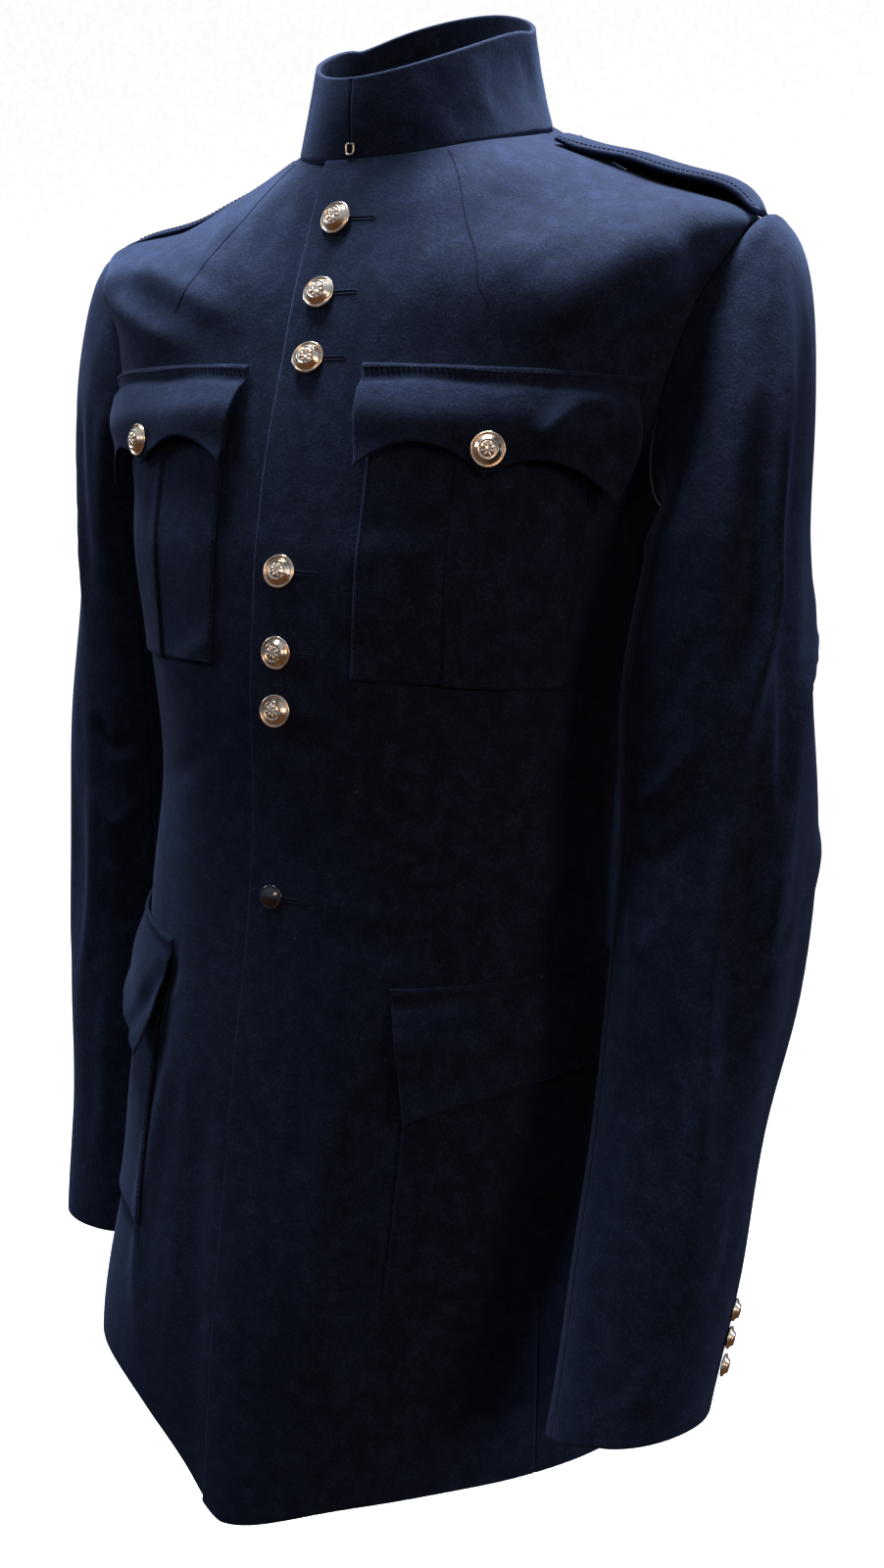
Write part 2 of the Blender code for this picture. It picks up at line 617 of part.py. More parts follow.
def on_body(side, distance, height):
    # Angle and row of the place this far round from the centre front, at this height.
    place = SHOULDER_ROW / 2
    for _ in range(SEARCH_ROUNDS):
        lengths = ring_lengths(side, round(place, 2))
        angle = next(a for a in range(1, 181) if lengths[a] >= distance)
        angle -= (lengths[angle] - distance) / (lengths[angle] - lengths[angle - 1])
        z = body_point(side * angle, place).z
        above = body_point(side * angle, place + PROBE)
        below = body_point(side * angle, place - PROBE)
        place += (height - z) * 2 * PROBE / (above.z - below.z)
    return side * angle, place


def lift(side, distance, height, out):
    angle, place = on_body(side, distance, height)
    return body_point(angle, place) + body_normal(angle, place) * out


def trim_wall(name, side, columns, rows, reach, height, out, wool):
    # A patch that lies on the body. Its reach round the body, its height and how far it stands out
    # are functions of its shares across and down.
    outer, inner = [], []
    for w in rows:
        places = [(reach(u, w), height(u, w), out(u, w)) for u in columns]
        outer.append([lift(side, d, z, gap + TRIM_CLOTH) for d, z, gap in places])
        inner.append([lift(side, d, z, gap) for d, z, gap in places])
    add_wall(name, outer, inner, wool)


def shares(count):
    return [i / count for i in range(count + 1)]


def scallop(u, depth, arc):
    # Depth of a three-pointed flap: full at both ends and the middle, less between them.
    return depth - arc * math.sin(math.pi * ((2 * u) % 1.0)) ** ARC_POWER


def breast_reach(u, w):
    # Distance round the body at these shares across and down a breast flap.
    inner = BREAST_INNER + BREAST_INNER_SLANT * w
    outer = BREAST_OUTER - BREAST_OUTER_SLANT * w
    return inner + (outer - inner) * u


def build_breast(side, name, wool):
    def flap_height(u, w):
        droop = BREAST_FLAP_DROOP * max(0.0, 2 * u - 1)
        return BREAST_TOP - w * (droop + scallop(u, BREAST_FLAP_DEPTH, BREAST_FLAP_ARC))

    def flap_out(u, w):
        curl = FLAP_STAND + BREAST_CURL * max(0.0, u - BREAST_CURL_START)
        return LAY + BREAST_STACK * min(1.0, w / FLAP_ROLL) + curl * w * w

    trim_wall(f"breast_flap_{name}", side, shares(BREAST_FLAP_STEPS), shares(FLAP_ROWS), breast_reach,
              flap_height, flap_out, wool)
    left, right = BREAST_INNER + POCKET_MARGIN, BREAST_OUTER - BREAST_OUTER_SLANT - POCKET_MARGIN
    middle = PLEAT_MIDDLE
    fold = TRIM_CLOTH
    first, last = middle - PLEAT_HALF, middle + PLEAT_HALF
    sides = shares(PLEAT_SIDE_STEPS)
    marks = [left + (first - fold - left) * share for share in sides] + [first, middle, last]
    marks += [last + fold + (right - last - fold) * share for share in sides]
    columns = [(mark - left) / (right - left) for mark in marks]
    top = BREAST_TOP - POCKET_TUCK

    def pocket_reach(u, w):
        return left + (right - left) * u

    def pocket_height(u, w):
        return top + (BREAST_POCKET_FOOT - top) * w

    def pocket_out(u, w):
        in_pleat = abs(pocket_reach(u, w) - middle) < PLEAT_HALF + fold / 2
        return POCKET_LAY + (TRIM_CLOTH if in_pleat else 0.0)

    trim_wall(f"breast_pocket_{name}", side, columns, shares(BREAST_POCKET_ROWS), pocket_reach,
              pocket_height, pocket_out, wool)


def build_skirt_pocket(side, name, wool):
    span = SKIRT_OUTER - SKIRT_INNER

    def flap_reach(u, w):
        return SKIRT_INNER + span * u + SKIRT_SLANT * w * (1 - 0.5 * u)

    def flap_height(u, w):
        depth = SKIRT_FLAP_DEPTH - SKIRT_FLAP_ARC * math.sin(math.pi * u) ** ARC_POWER
        return SKIRT_TOP + SKIRT_RISE * u - w * depth

    def flap_out(u, w):
        over = (TRIM_CLOTH + SKIRT_POCKET_LAY) * min(1.0, w / FLAP_ROLL)
        return LAY + over + (FLAP_STAND + SKIRT_PROUD[name] * (1 - 0.5 * u)) * w * w

    trim_wall(f"skirt_flap_{name}", side, shares(SKIRT_FLAP_STEPS), shares(FLAP_ROWS), flap_reach,
              flap_height, flap_out, wool)
    left, right = SKIRT_INNER + SKIRT_SLANT, SKIRT_OUTER - SKIRT_POCKET_MARGIN

    def pocket_reach(u, w):
        return left + (right - left) * u

    def pocket_height(u, w):
        return (SKIRT_TOP + SKIRT_RISE * u - POCKET_TUCK) * (1 - w) + SKIRT_POCKET_FOOT * w

    def pocket_out(u, w):
        return SKIRT_POCKET_LAY

    trim_wall(f"skirt_pocket_{name}", side, shares(SKIRT_POCKET_STEPS), shares(SKIRT_POCKET_ROWS),
              pocket_reach, pocket_height, pocket_out, wool)


def shoulder_under(side, place, y):
    # The place on the shoulder at this row that lies straight under a strap's edge at y.
    row = body_row(round(place, 6))
    back = y > row["side_y"]
    depth = (row["back_y"] if back else row["front_y"]) - row["side_y"]
    power = (BACK_SQUARE if back else row["square"]) / 2
    lean = math.degrees(math.asin(max(0.0, (y - row["side_y"]) / depth) ** power))
    return body_point(side * (90 + (lean if back else -lean)), place)


def build_strap(side, name, wool):
    outer, inner = [], []
    for w in shares(STRAP_STEPS):
        place = STRAP_OUTER_ROW + (STRAP_INNER_ROW - STRAP_OUTER_ROW) * w
        half = STRAP_HALF_OUTER + (STRAP_HALF_INNER - STRAP_HALF_OUTER) * w
        ridge = body_point(side * 90, place)
        arch = STRAP_SEAT + STRAP_LIFTS[name] * math.sin(math.pi * w) ** STRAP_ARCH
        outside, inside = [], []
        for u in STRAP_ACROSS:
            under = shoulder_under(side, place, ridge.y + u * half)
            flat = ridge.z + arch - STRAP_DROOP * u * u
            point = Vector((ridge.x, ridge.y + u * half, max(flat, under.z + STRAP_SEAT)))
            outside.append(point + Vector((0, 0, STRAP_CLOTH)))
            inside.append(point)
        outer.append(outside)
        inner.append(inside)
    add_wall(f"shoulder_strap_{name}", outer, inner, wool)


def add_button(name, seat, normal, radius, dome, material):
    # A turned button: flat back, rolled rim and domed face.
    bm = bmesh.new()
    verts = [bm.verts.new((radius * r, 0, dome * h)) for r, h in BUTTON_PROFILE]
    edges = [bm.edges.new(pair) for pair in zip(verts, verts[1:])]
    bmesh.ops.spin(bm, geom=verts + edges, cent=(0, 0, 0), axis=(0, 0, 1),
                   angle=2 * math.pi, steps=ROUND_STEPS, use_duplicate=False)
    bmesh.ops.remove_doubles(bm, verts=bm.verts, dist=WELD)
    bmesh.ops.recalc_face_normals(bm, faces=bm.faces)
    turn = Vector((0, 0, 1)).rotation_difference(normal).to_matrix().to_4x4()
    turn.translation = seat
    bmesh.ops.transform(bm, matrix=turn, verts=bm.verts)
    mesh = bpy.data.meshes.new(name)
    bm.to_mesh(mesh)
    bm.free()
    return add_object(name, mesh, material)


def build_buttons(gilt, black):
    heights = FRONT_BUTTON_HEIGHTS + (WAIST_BUTTON_HEIGHT,)
    for number, height in enumerate(heights, 1):
        small = number == len(heights)
        place = on_body(1, CENTRE_REACH, height)[1]
        normal = body_normal(0, place)
        seat = body_point(0, place) + normal * BUTTON_LAY
        add_button(f"button_front_{number}", seat, normal,
                   SMALL_RADIUS if small else BUTTON_RADIUS,
                   SMALL_DOME if small else BUTTON_DOME, black if small else gilt)
    drop = BREAST_BUTTON_DROP / BREAST_FLAP_DEPTH
    middle = breast_reach(0.5, drop)
    out = LAY + BREAST_STACK + FLAP_STAND * drop * drop + TRIM_CLOTH + FLAP_BUTTON_LAY
    for name, side in (("left", 1), ("right", -1)):
        angle, place = on_body(side, middle, BREAST_TOP - BREAST_BUTTON_DROP)
        normal = body_normal(angle, place)
        seat = body_point(angle, place) + normal * out
        add_button(f"button_pocket_{name}", seat, normal, BUTTON_RADIUS, BUTTON_DOME, gilt)
    for name, side, table in (("left", 1, LEFT_ARM), ("right", -1, RIGHT_ARM)):
        length = table[0][0] - table[-1][0]
        for number, up in enumerate(CUFF_BUTTON_LIFTS, 1):
            share = 1 - up / length
            turn = HIND_SEAM_CUFF + CUFF_BUTTON_TURN
            here = arm_ring(table, side, share, turn)
            ahead, behind = (arm_ring(table, side, share, turn + t) for t in (TURN_PROBE, -TURN_PROBE))
            lower, upper = (arm_ring(table, side, share + t, turn) for t in (SHARE_PROBE, -SHARE_PROBE))
            normal = (ahead - behind).cross(lower - upper).normalized() * side
            add_button(f"button_cuff_{name}_{number}", here + normal * BUTTON_LAY, normal,
                       CUFF_RADIUS, CUFF_DOME, gilt)


def build_hook(steel):
    # A small loop of plated wire that holds the two ends of the collar together at their foot.
    row = dict(zip(COLLAR_COLUMNS, COLLAR_ROWS[0]))
    curve = bpy.data.curves.new("collar_hook", "CURVE")
    curve.dimensions = "3D"
    curve.bevel_depth = HOOK_WIRE / 2
    curve.bevel_resolution = 1
    curve.use_fill_caps = True
    spline = curve.splines.new("POLY")
    spline.points.add(len(HOOK_ROUTE) - 1)
    for point, (across, up) in zip(spline.points, HOOK_ROUTE):
        z = row["front_z"] + HOOK_LIFT + HOOK_HEIGHT * up
        point.co = (across * HOOK_HALF, row["front_y"] - HOOK_WIRE / 2 - HOOK_LAY - HOOK_LEAN * up, z, 1)
    obj = bpy.data.objects.new("collar_hook", curve)
    curve.materials.append(steel)
    bpy.context.scene.collection.objects.link(obj)


def main():
    for obj in list(bpy.data.objects):
        bpy.data.objects.remove(obj, do_unlink=True)
    wool = make_material("navy wool", WOOL, 0.9)
    gilt = make_material("gilt brass", GILT, 0.25, 1.0)
    black = make_material("black resin", BLACK, 0.2)
    steel = make_material("plated steel", STEEL, 0.35, 1.0)
    build_body(wool)
    build_sleeves(wool)
    build_collar(wool)
    for name, side in (("left", 1), ("right", -1)):
        build_breast(side, name, wool)
        build_skirt_pocket(side, name, wool)
        build_strap(side, name, wool)
    build_buttons(gilt, black)
    build_hook(steel)


main()
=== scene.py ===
import math

import bpy
import numpy as np
from mathutils import Matrix, Vector


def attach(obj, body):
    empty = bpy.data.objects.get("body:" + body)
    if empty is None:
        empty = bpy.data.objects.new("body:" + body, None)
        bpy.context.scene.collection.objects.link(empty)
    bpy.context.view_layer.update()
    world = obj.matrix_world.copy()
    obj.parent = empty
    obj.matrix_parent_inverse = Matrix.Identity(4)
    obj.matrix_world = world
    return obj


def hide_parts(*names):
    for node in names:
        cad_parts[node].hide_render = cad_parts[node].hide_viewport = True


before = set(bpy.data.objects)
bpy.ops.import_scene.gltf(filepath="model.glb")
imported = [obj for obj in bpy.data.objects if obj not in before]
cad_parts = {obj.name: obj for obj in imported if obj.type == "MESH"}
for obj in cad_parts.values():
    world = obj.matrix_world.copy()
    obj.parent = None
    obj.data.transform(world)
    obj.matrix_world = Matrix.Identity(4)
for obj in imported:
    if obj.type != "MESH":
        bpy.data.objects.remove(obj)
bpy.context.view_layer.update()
sides = (("left", 1), ("right", -1))

# The worn body as rings from the hem up to the neck seam, in metres. Angles run round it from the
# centre front, 90 at the side and 180 at the centre back, and rows climb from 0 at the hem to 12.
body = {
    "columns": ("leftZ", "rightZ", "frontZ", "backZ", "left", "right", "sideY", "frontY", "backY",
                "square", "fall", "frontSeam", "backSeam"),
    "rows": (
        (-0.824, -0.797, -0.860, -0.812, 0.196, 0.176, 0.000, -0.170, 0.150, 1.62, 10.0, 60.0, 128.0),
        (-0.710, -0.696, -0.740, -0.706, 0.185, 0.164, 0.000, -0.164, 0.142, 1.76, 7.0, 61.0, 127.0),
        (-0.603, -0.598, -0.617, -0.602, 0.175, 0.160, 0.000, -0.153, 0.130, 2.00, 4.0, 62.0, 126.0),
        (-0.500, -0.500, -0.506, -0.500, 0.166, 0.155, 0.000, -0.142, 0.112, 2.18, 2.0, 64.0, 124.0),
        (-0.420, -0.420, -0.420, -0.420, 0.158, 0.147, 0.000, -0.138, 0.102, 2.20, 2.0, 66.0, 122.0),
        (-0.340, -0.340, -0.345, -0.340, 0.160, 0.159, 0.000, -0.143, 0.110, 2.20, 2.0, 69.0, 120.0),
        (-0.275, -0.275, -0.285, -0.275, 0.170, 0.172, 0.000, -0.144, 0.122, 2.20, 2.0, 73.0, 117.0),
        (-0.237, -0.237, -0.250, -0.225, 0.177, 0.178, 0.000, -0.140, 0.128, 2.20, 2.0, 76.0, 114.0),
        (-0.182, -0.182, -0.215, -0.165, 0.192, 0.192, 0.000, -0.134, 0.128, 2.20, 2.0, 78.0, 112.0),
        (-0.126, -0.126, -0.175, -0.108, 0.206, 0.206, 0.000, -0.125, 0.120, 2.20, 2.0, 79.0, 111.0),
        (-0.078, -0.084, -0.132, -0.060, 0.216, 0.216, 0.000, -0.115, 0.104, 2.20, 2.0, 80.0, 110.0),
        (-0.053, -0.063, -0.094, -0.024, 0.148, 0.148, 0.006, -0.101, 0.086, 2.10, 1.5, 80.0, 110.0),
        (-0.018, -0.018, -0.054, 0.008, 0.075, 0.075, 0.012, -0.087, 0.068, 2.00, 1.1, 80.0, 110.0),
    ),
    "backSquare": 2.2,
    "neckRow": 12.0,
    "shoulderRow": 10.0,
    "armpitRow": 7.0,
    # large soft waves: angle, spread in degrees, lowest and highest row, rise
    "waves": (
        (-46.0, 34.0, -2.2, 2.3, 0.0200),
        (40.0, 32.0, -2.5, 2.2, 0.0030),
        (84.0, 28.0, -2.5, 2.6, 0.0050),
        (150.0, 30.0, -2.5, 2.4, 0.0060),
        (-138.0, 28.0, -2.5, 2.6, 0.0060),
        (-104.0, 28.0, -2.5, 2.4, -0.0040),
        (118.0, 26.0, 2.6, 5.6, -0.0030),
        (-116.0, 26.0, 2.6, 5.4, -0.0030),
    ),
}
armholeCut = {
    "front": 21.5,  # degrees from the side line
    "back": 30.0,
    "square": 0.86,
    "frontJoin": 145.0,  # where the side seams meet it, degrees down from its top
    "backJoin": 220.0,
}
panels = {
    "lap": 0.018,  # how far each front runs past the centre line
    "lapBlend": 0.050,
    "lapEase": 0.006,
    "underLap": 0.0025,  # depth of the right front below the left one
    "seamRows": 15,
    "holeRows": 8,
    "neckSteps": 8,
    "shoulderSteps": 4,
    "backNeckSteps": 6,
    "fade": 4,
}
# share of a side edge that lies below the armhole
seamShare = panels["seamRows"] / (panels["seamRows"] + panels["holeRows"])
cloth = {
    "step": 0.0035,  # spacing of the mesh, about 3.5 mm
    "edgeSteps": (0.0008, 0.0018, 0.0035),  # closer lines along each border
    "edgeClear": 1.6,  # the even lines start this many of the last edge step in
    "bodyWall": 0.0020,
    "trimWall": 0.0015,
    "collarWall": 0.0026,
    "strapWall": 0.0028,
    "gap": 0.00004,
    "facing": 0.030,  # the wool is turned in this far round the lining
    "seamRoll": 0.0022,  # width over which a sewn edge rolls down into its seam
    "seamDip": 0.0006,
    "edgeRoll": 0.0013,  # width over which a free edge is rounded
    "edgePinch": 0.40,
    "angleProbe": 0.8,
    "rowProbe": 0.02,
}


def smooth(values, place):
    # a curve through each value, the same as the cut of the part
    values = np.asarray(values, float)
    last = len(values) - 1
    k = np.clip(np.floor(place).astype(int), 0, last - 1)
    t = place - k
    b, c = values[k], values[k + 1]
    a = np.where(k > 0, values[np.maximum(k - 1, 0)], 2 * b - c)
    d = np.where(k + 2 <= last, values[np.minimum(k + 2, last)], 2 * c - b)
    return b + 0.5 * t * (c - a + t * (2 * a - 5 * b + 4 * c - d + t * (3 * (b - c) + d - a)))


def readTable(table, place):
    rows = np.array(table["rows"])
    place = np.asarray(place, float)
    return {name: smooth(rows[:, i], place) for i, name in enumerate(table["columns"])}


def unit(vectors):
    return vectors / np.maximum(np.linalg.norm(vectors, axis=-1, keepdims=True), 1e-12)


def signedPower(value, power):
    return np.sign(value) * np.abs(value) ** power


def bump(distance, spread):
    share = np.minimum(np.abs(distance) / spread, 1)
    return 0.5 + 0.5 * np.cos(math.pi * share)


def easeIn(share):
    share = np.clip(share, 0, 1)
    return share * share * (3 - 2 * share)


def waveRise(waves, angle, place):
    total = np.zeros(np.broadcast(angle, place).shape)
    for middle, spread, low, high, rise in waves:
        across = bump((angle - middle + 180) % 360 - 180, spread)
        total = total + rise * across * bump(place - (low + high) / 2, (high - low) / 2)
    return total


def ringPoint(row, angle, half, sideZ):
    s, c = np.sin(np.radians(angle)), np.cos(np.radians(angle))
    front = c > 0
    power = 2 / np.where(front, row["square"], body["backSquare"])
    endY = np.where(front, row["frontY"], row["backY"])
    endZ = np.where(front, row["frontZ"], row["backZ"])
    x = half * signedPower(s, power)
    y = row["sideY"] + (endY - row["sideY"]) * np.abs(c) ** power
    z = sideZ + (endZ - sideZ) * np.abs(c) ** row["fall"]
    return np.stack(np.broadcast_arrays(x, y, z), axis=-1)


def bodyPoint(angle, place):
    row = readTable(body, place)
    angle = (np.asarray(angle, float) + 180) % 360 - 180
    left = angle > 0
    half = np.where(left, row["left"], row["right"])
    point = ringPoint(row, angle, half, np.where(left, row["leftZ"], row["rightZ"]))
    outward = unit(point * (1, 1, 0))
    return point + outward * waveRise(body["waves"], angle, place)[..., None]


def normalOf(surface, angle, place):
    da, dp = cloth["angleProbe"], cloth["rowProbe"]
    alongAngle = surface(angle + da, place) - surface(angle - da, place)
    alongRow = surface(angle, place + dp) - surface(angle, place - dp)
    return unit(np.cross(alongAngle, alongRow))


def edgesOf(*free):
    # the four edges of a panel, sewn down but for the free ones
    return {edge: "free" if edge in free else "sewn" for edge in ("left", "right", "bottom", "top")}


def lapAngle(place):
    row = readTable(body, place)
    return np.degrees(np.arcsin((panels["lap"] / row["left"]) ** (row["square"] / 2)))


def armhole(turn):
    # angle and row of a place on the armhole, turn degrees from its top by way of the front
    s, c = np.sin(np.radians(turn)), np.cos(np.radians(turn))
    reach = np.where(s > 0, armholeCut["front"], armholeCut["back"])
    middle = (body["shoulderRow"] + body["armpitRow"]) / 2
    half = (body["shoulderRow"] - body["armpitRow"]) / 2
    square = armholeCut["square"]
    return np.stack([90 - reach * signedPower(s, square), middle + half * signedPower(c, square)], axis=-1)


def seamLine(column, joinTurn, share):
    endAngle, endRow = armhole(joinTurn)
    place = endRow * share
    swing = (endAngle - readTable(body, endRow)[column]) * place / endRow
    return np.stack([readTable(body, place)[column] + swing, place], axis=-1)


def pairOf(angle, row):
    return np.stack(np.broadcast_arrays(np.asarray(angle, float), np.asarray(row, float)), axis=-1)


def seamThenHole(column, joinTurn, topTurn, v):
    # the side seam from the hem to the armhole, then the armhole up to its top
    rows = panels["seamRows"] + panels["holeRows"]
    j = v * rows
    hole = (j - panels["seamRows"]) / panels["holeRows"]
    seam = seamLine(column, joinTurn, np.minimum(j / panels["seamRows"], 1))
    up = armhole(joinTurn + (topTurn - joinTurn) * np.clip(hole, 0, 1))
    return np.where((hole <= 0)[..., None], seam, up)


def frontBorders():
    neck, shoulder = panels["neckSteps"], panels["shoulderSteps"]
    hemStart, neckStart = -lapAngle(0.0), -lapAngle(body["neckRow"])
    hemEnd = body["rows"][0][body["columns"].index("frontSeam")]

    def top(u):
        i = u * (neck + shoulder)
        onNeck = pairOf(neckStart + (90 - neckStart) * np.minimum(i / neck, 1), body["neckRow"])
        fall = (body["shoulderRow"] - body["neckRow"]) * np.maximum(i - neck, 0) / shoulder
        return onNeck + pairOf(0, fall)

    return {
        "bottom": lambda u: pairOf(hemStart + (hemEnd - hemStart) * u, 0.0),
        "top": top,
        "near": lambda v: pairOf(-lapAngle(body["neckRow"] * v), body["neckRow"] * v),
        "far": lambda v: seamThenHole("frontSeam", armholeCut["frontJoin"], 0.0, v),
        "corners": ((neck / (neck + shoulder),), (seamShare,)),
        "size": (0.27, 0.84),
        "edges": edgesOf("left", "bottom"),
    }


def backBorders():
    neck, shoulder = panels["backNeckSteps"], panels["shoulderSteps"]
    start = body["rows"][0][body["columns"].index("backSeam")]

    def top(u):
        i = u * (neck + shoulder)
        climb = (body["neckRow"] - body["shoulderRow"]) * np.minimum(i / shoulder, 1)
        return pairOf(90 + 90 * np.maximum(i - shoulder, 0) / neck, body["shoulderRow"] + climb)

    return {
        "bottom": lambda u: pairOf(start + (180 - start) * u, 0.0),
        "top": top,
        "near": lambda v: seamThenHole("backSeam", armholeCut["backJoin"], 360.0, v),
        "far": lambda v: pairOf(180.0, body["neckRow"] * v),
        "corners": ((shoulder / (neck + shoulder),), (seamShare,)),
        "size": (0.24, 0.83),
        "edges": edgesOf("bottom"),
    }


def sideBorders():
    first, last = armholeCut["frontJoin"], armholeCut["backJoin"]
    start, end = (body["rows"][0][body["columns"].index(c)] for c in ("frontSeam", "backSeam"))
    return {
        "bottom": lambda u: pairOf(start + (end - start) * u, 0.0),
        "top": lambda u: armhole(first + (last - first) * u),
        "near": lambda v: seamLine("frontSeam", first, v),
        "far": lambda v: seamLine("backSeam", last, v),
        "corners": ((), ()),
        "size": (0.18, 0.60),
        "edges": edgesOf("bottom"),
    }


def spaced(length, corners=()):
    # shares along a border: even, closer at both ends, with each corner on a line
    ends = np.array(cloth["edgeSteps"]) / length
    marks = [0.0, *corners, 1.0]
    even = np.concatenate([np.linspace(a, b, max(2, round((b - a) * length / cloth["step"]) + 1))
                           for a, b in zip(marks, marks[1:])])
    clear = cloth["edgeClear"] * ends[-1]
    even = even[(even > clear) & (even < 1 - clear)]
    return np.unique(np.concatenate([[0.0], ends, even, 1 - ends, [1.0]]).round(7))


def fillPlan(borders):
    # angle and row all over a panel, from its four borders
    u, v = np.meshgrid(spaced(borders["size"][0], borders["corners"][0]),
                       spaced(borders["size"][1], borders["corners"][1]))
    w = v ** panels["fade"]
    bottom, top = borders["bottom"], borders["top"]
    zero, one = np.array(0.0), np.array(1.0)
    u3, w3 = u[..., None], w[..., None]
    return ((1 - u3) * borders["near"](v) + u3 * borders["far"](v) + (1 - w3) * bottom(u) + w3 * top(u)
            - (1 - u3) * (1 - w3) * bottom(zero) - u3 * (1 - w3) * bottom(one)
            - (1 - u3) * w3 * top(zero) - u3 * w3 * top(one))


def underLap(x):
    share = (x + panels["lap"] + panels["lapBlend"]) / (panels["lapBlend"] - panels["lapEase"])
    return panels["underLap"] * easeIn(share)


# Main creases, each a row: its route over the cloth, half its width, its rise (a trough is below 0)
# and how crisp its crest is. Routes on the body are in angle and row.
bodyCreases = (
    # front, wearer's left
    (((64, 9.62), (54, 9.50), (44, 9.34), (31, 9.12)), 0.034, 0.0085, 0.25),
    (((66, 8.98), (52, 8.86), (38, 8.70)), 0.022, -0.0030, 0.0),
    (((26, 11.70), (21, 11.0), (17, 10.3), (14, 9.3)), 0.017, 0.0016, 0.0),
    (((46, 11.4), (38, 10.9), (30, 10.3)), 0.020, -0.0013, 0.0),
    (((76, 6.75), (80, 6.25), (86, 5.60), (93, 4.80)), 0.012, -0.0030, 0.2),
    (((60, 8.10), (67, 6.80), (77, 5.70)), 0.014, 0.0024, 0.2),
    (((92, 4.55), (99, 4.05), (103, 3.50)), 0.012, 0.0030, 0.4),
    (((60, 4.55), (72, 4.15), (84, 4.05)), 0.013, -0.0022, 0.2),
    (((54, 4.05), (64, 3.72), (78, 3.62)), 0.012, 0.0020, 0.2),
    (((8, 5.55), (24, 5.10), (40, 4.95)), 0.015, -0.0013, 0.0),
    (((8, 4.75), (22, 4.35), (44, 4.20)), 0.014, 0.0014, 0.1),
    (((10, 6.15), (20, 6.40), (30, 6.45)), 0.014, 0.0011, 0.0),
    (((9, 3.35), (22, 3.15), (38, 3.25)), 0.016, -0.0014, 0.0),
    (((44, 2.75), (45, 2.10), (48, 1.20), (47, 0.40)), 0.020, 0.0026, 0.2),
    (((28, 2.60), (24, 1.70), (27, 0.60)), 0.024, -0.0022, 0.0),
    (((14, 2.40), (16, 1.70), (21, 0.55)), 0.018, 0.0017, 0.0),
    # front, wearer's right
    (((-48, 10.20), (-34, 10.08), (-21, 9.85), (-10, 9.50)), 0.016, 0.0034, 0.3),
    (((-66, 9.60), (-50, 9.50), (-34, 9.32), (-15, 9.16)), 0.030, 0.0070, 0.25),
    (((-50, 9.75), (-36, 9.65), (-22, 9.45)), 0.014, -0.0024, 0.1),
    (((-54, 11.30), (-40, 11.15), (-24, 10.70)), 0.015, 0.0018, 0.1),
    (((-26, 11.75), (-18, 11.0), (-9, 10.0)), 0.016, -0.0014, 0.0),
    (((-76, 6.65), (-81, 6.05), (-88, 5.20)), 0.012, -0.0028, 0.2),
    (((-60, 7.60), (-68, 6.50), (-79, 5.30)), 0.013, 0.0022, 0.2),
    (((-88, 4.75), (-96, 4.15), (-103, 3.60)), 0.012, 0.0028, 0.3),
    (((-10, 5.45), (-26, 5.00), (-44, 4.85)), 0.014, 0.0013, 0.0),
    (((-12, 4.60), (-30, 4.15), (-52, 4.05)), 0.014, -0.0016, 0.1),
    (((-56, 3.95), (-66, 3.65), (-80, 3.60)), 0.012, 0.0020, 0.2),
    (((-24, 2.85), (-34, 2.50), (-46, 2.00)), 0.013, -0.0032, 0.3),
    (((-22, 2.60), (-30, 1.80), (-34, 0.90), (-28, 0.25)), 0.016, 0.0030, 0.2),
    (((-14, 2.30), (-16, 1.30), (-12, 0.40)), 0.018, -0.0018, 0.0),
    # back, as such a coat creases over the shoulder blades, at the waist and down the skirt
    (((114, 9.30), (128, 8.80), (146, 8.60)), 0.018, 0.0024, 0.1),
    (((112, 8.20), (124, 7.60), (138, 7.10)), 0.015, -0.0024, 0.1),
    (((112, 7.40), (120, 6.40), (134, 5.50)), 0.014, 0.0020, 0.1),
    (((122, 5.10), (140, 4.70), (164, 4.75)), 0.014, -0.0022, 0.1),
    (((126, 4.45), (148, 4.20), (170, 4.30)), 0.013, 0.0020, 0.2),
    (((124, 3.80), (142, 3.60), (160, 3.75)), 0.014, -0.0016, 0.0),
    (((150, 2.90), (152, 1.80), (147, 0.40)), 0.020, 0.0028, 0.1),
    (((132, 2.70), (130, 1.60), (134, 0.50)), 0.020, -0.0024, 0.0),
    (((152, 11.40), (164, 10.90), (176, 10.80)), 0.013, -0.0014, 0.0),
    (((-112, 9.10), (-130, 8.70), (-150, 8.75)), 0.017, 0.0022, 0.1),
    (((-113, 8.00), (-127, 7.30), (-140, 6.90)), 0.015, -0.0026, 0.1),
    (((-113, 7.20), (-122, 6.10), (-138, 5.30)), 0.014, 0.0021, 0.1),
    (((-120, 4.95), (-142, 4.60), (-166, 4.50)), 0.014, -0.0020, 0.1),
    (((-124, 4.30), (-144, 4.05), (-168, 4.05)), 0.013, 0.0021, 0.2),
    (((-128, 3.70), (-148, 3.45), (-164, 3.50)), 0.014, -0.0015, 0.0),
    (((-146, 2.80), (-143, 1.60), (-149, 0.30)), 0.020, 0.0026, 0.1),
    (((-166, 2.60), (-163, 1.50), (-167, 0.60)), 0.022, -0.0020, 0.0),
    (((-150, 11.45), (-162, 11.00), (-174, 10.90)), 0.013, -0.0013, 0.0),
    # round the armholes' feet at the sides
    (((84, 6.60), (96, 6.35), (108, 6.50)), 0.012, 0.0018, 0.2),
    (((88, 5.60), (100, 5.30), (112, 5.40)), 0.013, -0.0018, 0.1),
    (((-84, 6.50), (-97, 6.30), (-110, 6.40)), 0.012, 0.0018, 0.2),
    (((-90, 5.50), (-102, 5.25), (-114, 5.30)), 0.013, -0.0018, 0.1),
)
